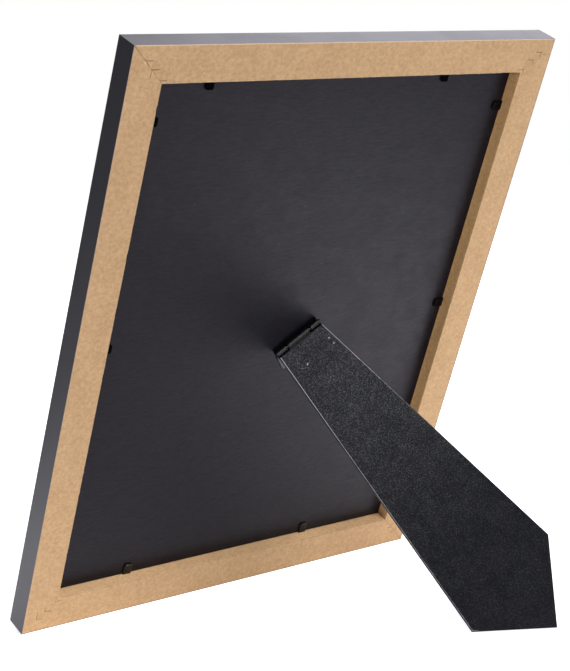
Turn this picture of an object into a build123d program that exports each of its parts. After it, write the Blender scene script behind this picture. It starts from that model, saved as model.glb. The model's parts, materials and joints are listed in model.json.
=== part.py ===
from build123d import *
from math import atan, cos, degrees, hypot, radians, sin, tan
import os

# Easel back photo frame: a mitred and wrapped moulding round a glazed, backed picture,
# held in by bendable steel points and propped by a tapered strut on a steel hinge.
# Lengths are in millimetres and angles in degrees. The front faces -Y, +Z is up, and
# left and right are as seen from the front.

# Picture and the layers behind the lip
picture_width = 279.4
picture_height = 355.6
picture_play = 1.5
board_play = 0.5
glass_thickness = 2.0
print_thickness = 0.3
board_thickness = 2.45
paper_thickness = 0.25

# Moulding
rail_width = 23.1
rail_depth = 16.8
lip_reach = 6.0
lip_thickness = 3.0
foil_thickness = 0.25
arris_radius = 1.2
sight_radius = 1.5

# V-nails across the mitres
nail_sheet = 0.4
nail_leg = 4.6
nail_height = 7.0
nail_sink = 0.8
nail_shares = (0.40, 0.63, 0.92)

# Bendable points: a blade in the rail and a tongue over the backing
point_width = 6.4
point_sheet = 0.5
point_reach = 8.0
point_root = 11.0
point_lift = 0.3
point_gap = 0.5
point_turn_up = 0.7
point_turn_run = 1.9
point_tip_radius = 1.6
point_shares = {
    "top": (-0.310, 0.250),
    "bottom": (-0.203, 0.255),
    "left": (-0.377, -0.008),
    "right": (0.008, 0.377),
}

# Hinge
hinge_across = -12.1
hinge_height = 195.4
hinge_turn = 37.2
hinge_width = 36.4
axis_height = 4.0
pin_radius = 1.0
pin_clearance = 0.05
pin_head_radius = 1.5
pin_head_thickness = 0.5
pin_end_gap = 0.15
leaf_sheet = 0.8
fixed_leaf_length = 19.0
strut_leaf_length = 22.0
leaf_corner_radius = 3.0
centre_knuckle_width = 17.4
lug_width = 1.3
knuckle_gap = 0.3
roll_slit = 0.4
stop_gap = 0.2
rivet_radius = 1.5
rivet_head_radius = 2.7
rivet_head_height = 0.8
rivet_tail_radius = 2.4
rivet_clearance = 0.05
rivet_spacing = 13.0
rivet_down = 10.5

# Strut
open_angle = 57.7
strut_taper = 5.85
strut_board_thickness = 2.1
lining_thickness = 0.15
lining_inset = 0.6
cover_thickness = 0.25
strut_end_gap = 0.8
clinch_radius = 2.0
clinch_wall = 0.4
clinch_flange_radius = 3.1
clinch_flange_thickness = 0.4
clinch_reach = 4.2
clinch_clearance = 0.05
prong_width = 1.5
prong_sheet = 0.5
prong_count = 4
clinch_spacing = 22.6
clinch_shift = -1.9
clinch_down = 15.4

# Sizes worked out from the values above
frame_width = picture_width + 2 * picture_play + 2 * rail_width
frame_height = picture_height + 2 * picture_play + 2 * rail_width
opening_width = frame_width - 2 * rail_width
opening_height = frame_height - 2 * rail_width
rebate_depth = rail_depth - lip_thickness
glass_depth = rebate_depth - glass_thickness
print_depth = glass_depth - print_thickness
board_depth = print_depth - board_thickness
recess_depth = board_depth - paper_thickness
axis_depth = recess_depth - axis_height
knuckle_radius = pin_radius + pin_clearance + leaf_sheet
strut_inner = leaf_sheet - knuckle_radius
board_inner = strut_inner + lining_thickness
board_outer = board_inner + strut_board_thickness
strut_outer = board_outer + cover_thickness
strut_start = knuckle_radius + strut_end_gap

# The lean: the strut's foot and the bottom back edge lie on one level floor, whichever
# way up the frame is stood
turn_cos = cos(radians(hinge_turn))
turn_sin = sin(radians(hinge_turn))
open_cos = cos(radians(open_angle))
open_sin = sin(radians(open_angle))
lean = degrees(atan(turn_cos * tan(radians(open_angle / 2))))
side_lean = degrees(atan(turn_sin * tan(radians(open_angle / 2))))
lean_cos = cos(radians(lean))
lean_sin = sin(radians(lean))

# The strut's outline in its own plane, across and down from the hinge's middle: its
# foot edge is parallel to the frame's bottom when folded, its side edge to the rail
tip_x = -frame_width / 2 - (axis_depth + strut_inner) * tan(radians(side_lean))
tip_z = -(axis_depth + strut_inner) * tan(radians(lean))
tip_across = (tip_x - hinge_across) * turn_cos - (tip_z - hinge_height) * turn_sin
tip_down = -(tip_x - hinge_across) * turn_sin - (tip_z - hinge_height) * turn_cos
taper_slope = tan(radians(strut_taper))
tip_half_width = hinge_width / 2 + tip_down * taper_slope
foot_edge = (tip_half_width - tip_across) / (turn_cos + turn_sin * taper_slope)
side_edge = (tip_half_width + tip_across) / (turn_sin + turn_cos * taper_slope)
start_half_width = hinge_width / 2 + strut_start * taper_slope

# The seat of the leaning frame: its lowest edge at Z = 0, and the middle of the whole
# standing object's depth at Y = 0
front_reach = (rail_depth - arris_radius) * lean_cos - arris_radius * lean_sin + arris_radius
tip_back = tip_down * open_sin + strut_outer * open_cos - axis_depth
tip_drop = tip_across * turn_sin + (tip_down * open_cos - strut_outer * open_sin) * turn_cos
back_reach = tip_back * lean_cos + (hinge_height - tip_drop) * lean_sin
seat = Location((0, (front_reach - back_reach) / 2, 0), (-lean, 0, 0))


def framed(plane):
    """Carry a plane of the upright frame to the leaning frame."""
    return Plane(seat * plane.location)


def within(base, plane):
    """Carry a plane that is given in another plane's coordinates."""
    return Plane(base.location * plane.location)


# The back face as seen from behind, x to the right and y up
back_plane = framed(Plane((0, 0, 0), x_dir=(-1, 0, 0), z_dir=(0, 1, 0)))

# Each side's section plane and length: x inward from the outer face, y from the back
# towards the front, z along the rail
sides = {
    "top": (
        framed(Plane((0, 0, frame_height), x_dir=(0, 0, -1), z_dir=(-1, 0, 0))),
        frame_width,
    ),
    "bottom": (
        framed(Plane((0, 0, 0), x_dir=(0, 0, 1), z_dir=(1, 0, 0))),
        frame_width,
    ),
    "left": (
        framed(Plane((-frame_width / 2, 0, frame_height / 2), x_dir=(1, 0, 0), z_dir=(0, 0, -1))),
        frame_height,
    ),
    "right": (
        framed(Plane((frame_width / 2, 0, frame_height / 2), x_dir=(-1, 0, 0), z_dir=(0, 0, 1))),
        frame_height,
    ),
}

# Each corner on the back face, and the way inward from it
corners = {
    "top_left": ((frame_width / 2, frame_height), (-1, -1)),
    "top_right": ((-frame_width / 2, frame_height), (1, -1)),
    "bottom_left": ((frame_width / 2, 0), (-1, 1)),
    "bottom_right": ((-frame_width / 2, 0), (1, 1)),
}

# The hinge's axis on the board and on the open strut: x along the pin, y down the strut
board_axis = framed(
    Plane((hinge_across, -axis_depth, hinge_height), x_dir=(turn_cos, 0, -turn_sin), z_dir=(0, 1, 0))
)
strut_axis = Plane(board_axis.location * Location((0, 0, 0), (open_angle, 0, 0)))

# Across the pin, seen along it: x down the strut, y out of the board or the strut
knuckle_view = Plane((0, 0, 0), x_dir=(0, 1, 0), z_dir=(1, 0, 0))

os.makedirs("parts", exist_ok=True)


def keep(piece, name):
    """Label a finished piece and write it."""
    piece.part.label = name
    export_step(piece.part, f"parts/{name}.step")


def moulding_outline(skin):
    """Draw the moulding's section, drawn in by a skin's thickness on the faces that show."""
    sight = rail_width + lip_reach - skin
    front = rail_depth - skin
    FilletPolyline(
        (skin, 0),
        (rail_width, 0),
        (rail_width, rebate_depth),
        (sight, rebate_depth),
        (sight, front),
        (skin, front),
        radius=(0, 0, 0, 0, sight_radius - skin, arris_radius - skin),
        close=True,
    )


def mitre_ends(plane, length):
    """Cut the two ends of a side at 45 degrees, through its outer corners."""
    for end in (-1, 1):
        mitre = Plane((0, 0, end * length / 2), x_dir=(0, 1, 0), z_dir=(1, 0, end))
        split(bisect_by=within(plane, mitre), keep=Keep.BOTTOM)


def nail_plans(corner):
    """Draw a corner's V-nails on the back face, each with one leg along each rail."""
    (corner_x, corner_y), (way_x, way_y) = corners[corner]
    half = nail_sheet / 2
    for share in nail_shares:
        apex_x = corner_x + way_x * share * rail_width
        apex_y = corner_y + way_y * share * rail_width
        Polygon(
            (apex_x - way_x * half, apex_y - way_y * half),
            (apex_x + way_x * nail_leg, apex_y - way_y * half),
            (apex_x + way_x * nail_leg, apex_y + way_y * half),
            (apex_x + way_x * half, apex_y + way_y * half),
            (apex_x + way_x * half, apex_y + way_y * nail_leg),
            (apex_x - way_x * half, apex_y + way_y * nail_leg),
            align=None,
        )


def blade_section():
    """Draw the blade of a point in its rail, from the rebate wall outward."""
    with Locations((rail_width - point_root / 2, recess_depth - point_lift - point_sheet / 2)):
        Rectangle(point_root, point_sheet)


def strut_outline():
    """Draw the strut: a taper that ends in a foot edge and a side edge, square together."""
    Polyline(
        (-start_half_width, strut_start),
        (start_half_width, strut_start),
        (tip_across + foot_edge * turn_cos, tip_down - foot_edge * turn_sin),
        (tip_across, tip_down),
        (tip_across - side_edge * turn_sin, tip_down - side_edge * turn_cos),
        close=True,
    )


# Rails: a stepped section with slots for the V-nails and the points
for side, (plane, length) in sides.items():
    with BuildPart() as rail:
        with BuildSketch(plane):
            with BuildLine():
                moulding_outline(foil_thickness)
            make_face()
        extrude(amount=length / 2, both=True)
        mitre_ends(plane, length)
        with BuildSketch(back_plane):
            for corner in corners:
                if side in corner:
                    nail_plans(corner)
        extrude(amount=-(nail_sink + nail_height), mode=Mode.SUBTRACT)
        for share in point_shares[side]:
            with BuildSketch(plane.offset(share * length)):
                blade_section()
            extrude(amount=point_width / 2, both=True, mode=Mode.SUBTRACT)
    keep(rail, f"{side}_rail")

# Foil wrap: one strip to a rail, over its outer face, its front and its sight edge
for side, (plane, length) in sides.items():
    with BuildPart() as foil:
        with BuildSketch(plane):
            with BuildLine():
                moulding_outline(0)
            make_face()
            with BuildLine():
                moulding_outline(foil_thickness)
            make_face(mode=Mode.SUBTRACT)
        extrude(amount=length / 2, both=True)
        mitre_ends(plane, length)
    keep(foil, f"{side}_foil")

# V-nails, below the back face
for corner in corners:
    with BuildPart() as nails:
        with BuildSketch(back_plane.offset(-nail_sink)):
            nail_plans(corner)
        extrude(amount=-nail_height)
    keep(nails, f"{corner}_v_nails")

# Glass and print, lying on the lip
with BuildPart() as glazing:
    with BuildSketch(back_plane.offset(-glass_depth)):
        with Locations((0, frame_height / 2)):
            Rectangle(picture_width, picture_height)
    extrude(amount=-glass_thickness)
keep(glazing, "glazing")

with BuildPart() as picture_sheet:
    with BuildSketch(back_plane.offset(-print_depth)):
        with Locations((0, frame_height / 2)):
            Rectangle(picture_width, picture_height)
    extrude(amount=-print_thickness)
keep(picture_sheet, "picture_sheet")

# Backing board and its black paper face, drilled for the hinge rivets
rivet_places = [(end * rivet_spacing / 2, rivet_down) for end in (-1, 1)]
board_seats = [within(board_axis, Plane((x, y, -axis_height))).location for x, y in rivet_places]
front_seats = [
    within(board_axis, Plane((x, y, axis_depth - print_depth), z_dir=(0, 0, -1))).location
    for x, y in rivet_places
]

with BuildPart() as backing_board:
    with BuildSketch(back_plane.offset(-board_depth)):
        with Locations((0, frame_height / 2)):
            Rectangle(opening_width - 2 * board_play, opening_height - 2 * board_play)
    extrude(amount=-board_thickness)
    with Locations(*front_seats):
        CounterSinkHole(
            radius=rivet_radius + rivet_clearance,
            counter_sink_radius=rivet_tail_radius + rivet_clearance,
            counter_sink_angle=90,
        )
keep(backing_board, "backing_board")

with BuildPart() as backing_paper:
    with BuildSketch(back_plane.offset(-recess_depth)):
        with Locations((0, frame_height / 2)):
            Rectangle(opening_width - 2 * board_play, opening_height - 2 * board_play)
    extrude(amount=-paper_thickness)
    with Locations(*board_seats):
        Hole(radius=rivet_radius + rivet_clearance)
keep(backing_paper, "backing_paper")

# Points: the blades share one node, and each tongue bends by itself
with BuildPart() as point_blades:
    for side, (plane, length) in sides.items():
        for share in point_shares[side]:
            with BuildSketch(plane.offset(share * length)):
                blade_section()
            extrude(amount=point_width / 2, both=True)
keep(point_blades, "point_blades")

for side, (plane, length) in sides.items():
    for number, share in enumerate(point_shares[side], start=1):
        inner_face = recess_depth - point_lift
        outer_face = inner_face - point_sheet
        with BuildPart() as tongue:
            with BuildSketch(plane.offset(share * length)):
                Polygon(
                    (rail_width + point_gap, inner_face),
                    (rail_width + point_reach - point_turn_run, inner_face),
                    (rail_width + point_reach, inner_face - point_turn_up),
                    (rail_width + point_reach, outer_face - point_turn_up),
                    (rail_width + point_reach - point_turn_run, outer_face),
                    (rail_width + point_gap, outer_face),
                    align=None,
                )
            extrude(amount=point_width / 2, both=True)
            tongue_view = Plane(
                (rail_width, inner_face, share * length), x_dir=(1, 0, 0), z_dir=(0, -1, 0)
            )
            with BuildSketch(within(plane, tongue_view)):
                with Locations((point_reach / 2, 0)):
                    plan = Rectangle(point_reach, point_width)
                fillet(plan.vertices().group_by(Axis.X)[-1], radius=point_tip_radius)
            extrude(amount=point_sheet + point_turn_up, mode=Mode.INTERSECT)
        keep(tongue, f"{side}_point_{number}")

# Hinge leaf on the board: a plate with one rolled knuckle on a raised web
with BuildPart() as hinge_board_leaf:
    with BuildSketch(board_axis.offset(-axis_height)):
        with Locations((0, (fixed_leaf_length - knuckle_radius) / 2)):
            plate = Rectangle(hinge_width, fixed_leaf_length + knuckle_radius)
        fillet(plate.vertices().group_by(Axis.Y)[-1], radius=leaf_corner_radius)
    extrude(amount=leaf_sheet)
    with BuildSketch(within(board_axis, knuckle_view)):
        Circle(knuckle_radius)
        with Locations((leaf_sheet / 2 - knuckle_radius, -axis_height / 2)):
            Rectangle(leaf_sheet, axis_height)
        Circle(pin_radius + pin_clearance, mode=Mode.SUBTRACT)
        with Locations((roll_slit / 2 - pin_radius - pin_clearance, -knuckle_radius / 2)):
            Rectangle(roll_slit, knuckle_radius, mode=Mode.SUBTRACT)
    extrude(amount=centre_knuckle_width / 2, both=True)
    with Locations(*board_seats):
        Hole(radius=rivet_radius + rivet_clearance)
keep(hinge_board_leaf, "hinge_board_leaf")

# Rivets that hold this leaf: domed heads, and tails countersunk in the board's front
board_stack = paper_thickness + board_thickness
rivet_tail_depth = rivet_tail_radius - rivet_radius
with BuildPart() as board_rivets:
    for x, y in rivet_places:
        rivet_view = within(board_axis, Plane((x, y, -axis_height), z_dir=(0, -1, 0), x_dir=(1, 0, 0)))
        with BuildSketch(rivet_view):
            with BuildLine():
                TangentArc(
                    (0, leaf_sheet + rivet_head_height),
                    (rivet_head_radius, leaf_sheet),
                    tangent=(1, 0),
                )
                Polyline(
                    (rivet_head_radius, leaf_sheet),
                    (rivet_radius, leaf_sheet),
                    (rivet_radius, rivet_tail_depth - board_stack),
                    (rivet_tail_radius, -board_stack),
                    (0, -board_stack),
                    (0, leaf_sheet + rivet_head_height),
                )
            make_face()
        revolve(axis=Axis(rivet_view.origin, rivet_view.y_dir))
keep(board_rivets, "board_rivets")

# Hinge pin with peened ends
pin_half = hinge_width / 2 + pin_end_gap
with BuildPart() as hinge_pin:
    with BuildSketch(within(board_axis, knuckle_view)):
        Circle(pin_radius)
    extrude(amount=pin_half, both=True)
    for end in (-1, 1):
        with BuildSketch(within(board_axis, Plane((end * pin_half, 0, 0), z_dir=(end, 0, 0)))):
            Circle(pin_head_radius)
        extrude(amount=pin_head_thickness)
    for end in (-1, 1):
        rims = hinge_pin.edges().filter_by(GeomType.CIRCLE)
        outer_rim = rims.sort_by(Axis(board_axis.origin, board_axis.x_dir * end))[-1]
        fillet(outer_rim, radius=pin_head_thickness / 2)
keep(hinge_pin, "hinge_pin")

# Hinge leaf on the strut: two rolled knuckles outside two stop lugs, which land on the
# board's leaf when the strut is open
lug_middle = centre_knuckle_width / 2 + knuckle_gap + lug_width / 2
end_knuckle_inner = lug_middle + lug_width / 2 + knuckle_gap
end_knuckle_width = hinge_width / 2 - end_knuckle_inner
end_knuckle_middle = end_knuckle_inner + end_knuckle_width / 2
notch = knuckle_radius + knuckle_gap
lug_length = (axis_height - leaf_sheet - stop_gap - knuckle_radius * open_cos) / open_sin
clinch_places = [(clinch_shift + end * clinch_spacing / 2, clinch_down) for end in (-1, 1)]
clinch_hole_radius = clinch_radius + clinch_clearance
leaf_seats = [within(strut_axis, Plane((x, y, 0))).location for x, y in clinch_places]
cover_seats = [within(strut_axis, Plane((x, y, board_outer))).location for x, y in clinch_places]

with BuildPart() as hinge_strut_leaf:
    with BuildSketch(strut_axis.offset(-knuckle_radius)):
        with Locations((0, (notch + strut_leaf_length) / 2)):
            plate = Rectangle(hinge_width, strut_leaf_length - notch)
        fillet(plate.vertices().group_by(Axis.Y)[-1], radius=leaf_corner_radius)
        for end in (-1, 1):
            with Locations((end * lug_middle, (notch - lug_length) / 2)):
                Rectangle(lug_width, notch + lug_length)
            with Locations((end * end_knuckle_middle, notch / 2)):
                Rectangle(end_knuckle_width, notch)
    extrude(amount=leaf_sheet)
    for end in (-1, 1):
        with BuildSketch(within(strut_axis, knuckle_view).offset(end * end_knuckle_middle)):
            Circle(knuckle_radius)
            Circle(pin_radius + pin_clearance, mode=Mode.SUBTRACT)
            with Locations((knuckle_radius / 2, roll_slit / 2 - pin_radius - pin_clearance)):
                Rectangle(knuckle_radius, roll_slit, mode=Mode.SUBTRACT)
        extrude(amount=end_knuckle_width / 2, both=True)
    with Locations(*leaf_seats):
        Hole(radius=clinch_hole_radius)
keep(hinge_strut_leaf, "hinge_strut_leaf")

# Clinches through the strut: a flanged tube, split into prongs spread under the cover
prong_length = clinch_reach - clinch_radius + clinch_wall
with BuildPart() as strut_clinches:
    for x, y in clinch_places:
        clinch_view = within(strut_axis, Plane((x, y, 0), z_dir=(0, -1, 0), x_dir=(1, 0, 0)))
        with BuildSketch(clinch_view):
            Polygon(
                (clinch_radius - clinch_wall, -knuckle_radius - clinch_flange_thickness),
                (clinch_flange_radius, -knuckle_radius - clinch_flange_thickness),
                (clinch_flange_radius, -knuckle_radius),
                (clinch_radius, -knuckle_radius),
                (clinch_radius, board_outer),
                (clinch_radius - clinch_wall, board_outer),
                align=None,
            )
        revolve(axis=Axis(clinch_view.origin, clinch_view.y_dir))
        with BuildSketch(within(strut_axis, Plane((x, y, board_outer)))):
            with PolarLocations(clinch_reach - prong_length / 2, prong_count, start_angle=45):
                Rectangle(prong_length, prong_width)
        extrude(amount=-prong_sheet)
keep(strut_clinches, "strut_clinches")

# Strut board, its inner lining, and its cover turned over the edges
with BuildPart() as strut_board:
    with BuildSketch(strut_axis.offset(board_inner)):
        with BuildLine():
            strut_outline()
        make_face()
        offset(amount=-cover_thickness, kind=Kind.INTERSECTION)
    extrude(amount=strut_board_thickness)
    with Locations(*cover_seats):
        CounterBoreHole(
            radius=clinch_hole_radius,
            counter_bore_radius=hypot(clinch_reach, prong_width / 2) + clinch_clearance,
            counter_bore_depth=prong_sheet,
        )
keep(strut_board, "strut_board")

with BuildPart() as strut_lining:
    with BuildSketch(strut_axis.offset(strut_inner)):
        with BuildLine():
            strut_outline()
        make_face()
        offset(amount=-cover_thickness - lining_inset, kind=Kind.INTERSECTION)
    extrude(amount=lining_thickness)
    with Locations(*leaf_seats):
        Hole(radius=clinch_hole_radius)
keep(strut_lining, "strut_lining")

with BuildPart() as strut_cover:
    with BuildSketch(strut_axis.offset(strut_inner)):
        with BuildLine():
            strut_outline()
        make_face()
    extrude(amount=strut_outer - strut_inner)
    with BuildSketch(strut_axis.offset(strut_inner)):
        with BuildLine():
            strut_outline()
        make_face()
        offset(amount=-cover_thickness, kind=Kind.INTERSECTION)
    extrude(amount=board_outer - strut_inner, mode=Mode.SUBTRACT)
keep(strut_cover, "strut_cover")
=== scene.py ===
"""Easel back photo frame: raw fibreboard rails in a charcoal wrap, a papered backing held by
bendable points, and a leatherette strut on a steel hinge.

Lengths are in metres. Left and right are as seen from the front.
"""

import json
import math

import bmesh
import bpy
import numpy as np
from bpy.props import FloatProperty, FloatVectorProperty, PointerProperty
from mathutils import Euler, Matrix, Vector


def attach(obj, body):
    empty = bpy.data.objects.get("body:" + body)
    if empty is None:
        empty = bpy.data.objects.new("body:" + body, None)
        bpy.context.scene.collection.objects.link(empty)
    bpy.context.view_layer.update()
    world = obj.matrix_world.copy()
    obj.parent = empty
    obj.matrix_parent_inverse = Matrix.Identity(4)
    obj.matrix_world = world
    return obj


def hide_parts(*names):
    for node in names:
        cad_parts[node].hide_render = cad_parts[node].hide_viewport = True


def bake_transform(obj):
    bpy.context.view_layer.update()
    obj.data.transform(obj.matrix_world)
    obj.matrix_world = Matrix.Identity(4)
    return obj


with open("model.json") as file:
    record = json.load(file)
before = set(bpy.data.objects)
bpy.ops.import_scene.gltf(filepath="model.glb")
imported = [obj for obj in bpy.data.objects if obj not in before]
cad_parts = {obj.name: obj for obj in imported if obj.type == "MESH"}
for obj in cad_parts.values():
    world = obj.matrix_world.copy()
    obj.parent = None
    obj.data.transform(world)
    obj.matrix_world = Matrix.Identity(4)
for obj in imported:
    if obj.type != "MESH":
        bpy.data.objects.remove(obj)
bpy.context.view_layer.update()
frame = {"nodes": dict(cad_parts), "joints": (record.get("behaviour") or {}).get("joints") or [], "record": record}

bl_info = {
    "name": "Easel Back Photo Frame",
    "version": (1, 0, 0),
    "blender": (4, 5, 0),
    "location": "View3D > Sidebar > Photo Frame",
    "description": "Builds the looks of an easel back photo frame around its model",
    "category": "Object",
}

MM = 0.001
# Points that are nearer to a face than this lie on it
HAIR = 0.01 * MM
SIDES = ("top", "bottom", "left", "right")
CORNERS = ("top_left", "top_right", "bottom_left", "bottom_right")


# Axes on the model
class Setting:
    """Three unit axes at an origin: points are given along the axes, or in the row frame."""

    def __init__(self, origin, x, y, z):
        self.origin = np.array(origin, float)
        self.axes = np.array([x, y, z], float)

    def out(self, points):
        """Points along the axes, as points of the row frame."""
        return self.origin + np.asarray(points) @ self.axes

    def into(self, points):
        """Points of the row frame, along the axes."""
        return (np.asarray(points) - self.origin) @ self.axes.T

    def points(self, node):
        """The corners of a node's mesh, along the axes."""
        vertices = frame["nodes"][node].data.vertices
        flat = np.empty(len(vertices) * 3, np.float32)
        vertices.foreach_get("co", flat)
        return self.into(flat.reshape(-1, 3))

    def box(self, node):
        """A node's lowest and highest corner, along the axes."""
        inner = self.points(node)
        return inner.min(axis=0), inner.max(axis=0)


def find_upright():
    """The leaning frame's axes: across, out of the back, and up, from its bottom back edge."""
    mounts = {mount["name"]: mount for mount in frame["record"]["mounts"]}
    out = np.array(mounts["top_rail_back"]["axis"])
    up = -np.array(mounts["underside"]["axis"])
    under = np.array(mounts["underside"]["pos_m"])
    behind = np.array(mounts["top_rail_back"]["pos_m"])
    edge = under + ((behind - under) @ out) * out
    return Setting(edge, np.cross(out, up), out, up)


def find_hinge(node):
    """The hinge's axes on the pin: along the pin, down the node's plate, and out of it.

    The plate's normal is that of its largest triangle, turned to the outer side.
    """
    joint = next(j for j in frame["joints"] if j["name"] == "strut_hinge")
    along = np.array(joint["axis"])
    mesh = frame["nodes"][node].data
    mesh.calc_loop_triangles()
    spots = Setting((0, 0, 0), (1, 0, 0), (0, 1, 0), (0, 0, 1)).points(node)
    corners = np.empty(len(mesh.loop_triangles) * 3, np.int32)
    mesh.loop_triangles.foreach_get("vertices", corners)
    a, b, c = spots[corners.reshape(-1, 3)].transpose(1, 0, 2)
    normals = np.cross(b - a, c - a)
    largest = normals[np.argmax(np.linalg.norm(normals, axis=1))]
    out = largest / np.linalg.norm(largest)
    out = out * np.sign(out[1])
    return Setting(joint["pos_m"], along, np.cross(out, along), out)


UPRIGHT = find_upright()
ON_BOARD = find_hinge("hinge_board_leaf")
ON_STRUT = find_hinge("strut_board")


def find_sides():
    """Each side's axes, inward, towards the front and along, and its length."""
    half, _, top = UPRIGHT.box("top_foil")[1]
    across, out, up = UPRIGHT.axes
    starts = {
        "top": ((0, 0, top), -up, 2 * half),
        "bottom": ((0, 0, 0), up, 2 * half),
        "left": ((-half, 0, top / 2), across, top),
        "right": ((half, 0, top / 2), -across, top),
    }
    found = {}
    for side, (origin, inward, length) in starts.items():
        found[side] = (Setting(UPRIGHT.out(origin), inward, -out, np.cross(inward, -out)), length)
    return found


RAILS = find_sides()
TOP = RAILS["top"][0]
BACK_LINE = TOP.points("top_rail")[TOP.points("top_rail")[:, 1] < HAIR]
SKIN = BACK_LINE[:, 0].min()
RAIL_WIDTH = BACK_LINE[:, 0].max()
SIGHT, RAIL_DEPTH = TOP.box("top_foil")[1][:2]
REBATE_DEPTH = TOP.box("glazing")[1][1]


# Sizes, colours and stage that a user would change
def length(name, words, default):
    """A length in metres, for the panel."""
    return FloatProperty(name=name, description=words, default=default, unit="LENGTH", precision=5)


def share(name, words, default):
    """A share from 0 to 1, for the panel."""
    return FloatProperty(name=name, description=words, default=default, min=0, max=1)


def colour(name, words, default):
    """A linear colour, for the panel."""
    return FloatVectorProperty(name=name, description=words, default=default, subtype="COLOR", min=0, max=1)


class EaselFrameSizes(bpy.types.PropertyGroup):
    """Sizes of the finish, finer than the model's own."""

    arris: length("Outer arris", "Radius of the moulding's outer front edge", 1.2 * MM)
    sight_arris: length("Sight arris", "Radius of the moulding's inner front edge", 1.5 * MM)
    chip: length("Edge chip", "How deep the raw inner edge is chipped", 0.70 * MM)
    mitre_gap: length("Mitre gap", "How far the widest mitre has opened at the back", 0.42 * MM)
    nail_leg: length("Nail leg", "Length of a V-nail's leg", 4.6 * MM)
    nail_slot: length("Nail slot", "Width of the slot that a V-nail leaves", 0.4 * MM)
    nail_sink: length("Nail sink", "Depth of a V-nail below the raw face", 0.8 * MM)
    strut_arris: length("Strut arris", "Radius of the cover's folded edges", 0.70 * MM)
    clinch_bump: length("Clinch bump", "How far the clinches push up the cover", 0.32 * MM)
    steel_edge: length("Steel edge", "Radius of the sheet steel's edges", 0.07 * MM)


class EaselFrameColours(bpy.types.PropertyGroup):
    """Colours of the finishes."""

    fibreboard: colour("Fibreboard", "Raw fibreboard", (0.635, 0.42, 0.238))
    fibreboard_dark: colour("Fibreboard shade", "Its darker fibres", (0.40, 0.24, 0.118))
    # Dark fibreboard in the joints and slots, also used for the painted shadow in the rebate's corners and the
    # darker band on its walls
    joints_and_shade: colour("Scorched", "Fibreboard in the joints and slots", (0.085, 0.055, 0.040))
    torn_fibre: colour("Torn fibre", "Fibre that is torn up or chipped", (0.82, 0.62, 0.42))
    foil: colour("Foil", "The wrap's printed face", (0.018, 0.018, 0.023))
    foil_edge: colour("Foil edge", "The wrap's cut edge", (0.62, 0.46, 0.40))
    backing_paper: colour("Backing paper", "Black paper of the backing", (0.0045, 0.0040, 0.0066))
    leatherette: colour("Leatherette", "The strut's cover", (0.0050, 0.0050, 0.0082))
    leatherette_tops: colour("Leatherette tops", "The tops of its grain", (0.028, 0.030, 0.039))
    # Pale worn leatherette, also drawn as a painted highlight along the arris and on the clinches' tips
    leatherette_worn_and_lit: colour("Worn leatherette", "Its rubbed edges", (0.50, 0.48, 0.54))
    black_steel: colour("Black steel", "Lacquered hinge and points", (0.003, 0.003, 0.0035))
    bare_steel: colour("Bare steel", "Nails and clinches", (0.38, 0.38, 0.39))
    greyboard: colour("Greyboard", "Cut edge of the pressed boards", (0.17, 0.145, 0.115))
    lining: colour("Lining", "Paper on the strut's inner side", (0.022, 0.021, 0.023))
    sheet: colour("Sheet", "The bare sheet behind the glass", (0.80, 0.80, 0.78))
    glass: colour("Glass", "The glass", (0.975, 0.99, 0.982))


class EaselFrameStage(bpy.types.PropertyGroup):
    """Camera and light."""

    camera_place: FloatVectorProperty(
        name="Camera place",
        description="Where the camera stands",
        default=(0.67517, 0.84067, 0.35201),
        subtype="XYZ",
        unit="LENGTH",
    )
    camera_turn: FloatVectorProperty(
        name="Camera turn",
        description="The camera's turn about X, Y and Z",
        default=(math.radians(81.3336), math.radians(1.7187), math.radians(141.9537)),
        subtype="EULER",
    )
    camera_lens: FloatProperty(
        name="Camera lens",
        description="Focal length in millimetres, on a picture 36 mm high",
        default=91.435,
    )
    floor_colour: colour("Floor", "The pale floor", (0.86, 0.86, 0.87))
    floor_glow: FloatProperty(name="Floor glow", description="Light from the lit table", default=1.58)
    key_power: FloatProperty(name="Key", description="Power of the key light", default=5, unit="POWER")
    top_power: FloatProperty(name="Top", description="Power of the top light", default=16.5, unit="POWER")
    back_power: FloatProperty(name="Back", description="Power of the back light", default=4.5, unit="POWER")
    fill_power: FloatProperty(name="Fill", description="Power of the fill", default=1, unit="POWER")
    rim_power: FloatProperty(name="Rim", description="Power of the rim light", default=22, unit="POWER")
    sky: share("Sky", "Strength of the light from all round", 0.15)


def looks():
    """The scene's sizes, colours and stage."""
    scene = bpy.context.scene
    return scene.easel_frame_sizes, scene.easel_frame_colours, scene.easel_frame_stage


# Shapes
def wander(points, size, seed):
    """Smooth noise from -1 to 1: random values on a lattice, blended by an eased step."""
    table = np.random.default_rng(seed).uniform(-1, 1, (32, 32, 32))
    cell = np.asarray(points, float) / size
    low = np.floor(cell).astype(int)
    part = cell - low
    ease = part * part * (3 - 2 * part)
    total = np.zeros(cell.shape[:-1])
    for corner in np.ndindex(2, 2, 2):
        weight = np.prod(np.where(corner, ease, 1 - ease), axis=-1)
        near = (low + corner) % 32
        total = total + weight * table[near[..., 0], near[..., 1], near[..., 2]]
    return total


def arc(centre, radius, start, end, count):
    """Points round a circle, from one angle to another in degrees."""
    angle = np.radians(np.linspace(start, end, count))
    return np.stack([centre[0] + radius * np.cos(angle), centre[1] + radius * np.sin(angle)], -1)


def spread(*marks, step):
    """Places from mark to mark in even steps no longer than the given one."""
    runs = [np.linspace(a, b, max(1, math.ceil(abs(b - a) / step - 1e-9)) + 1) for a, b in
            zip(marks[:-1], marks[1:])]
    return np.concatenate([runs[0][:1]] + [run[1:] for run in runs])


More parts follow.
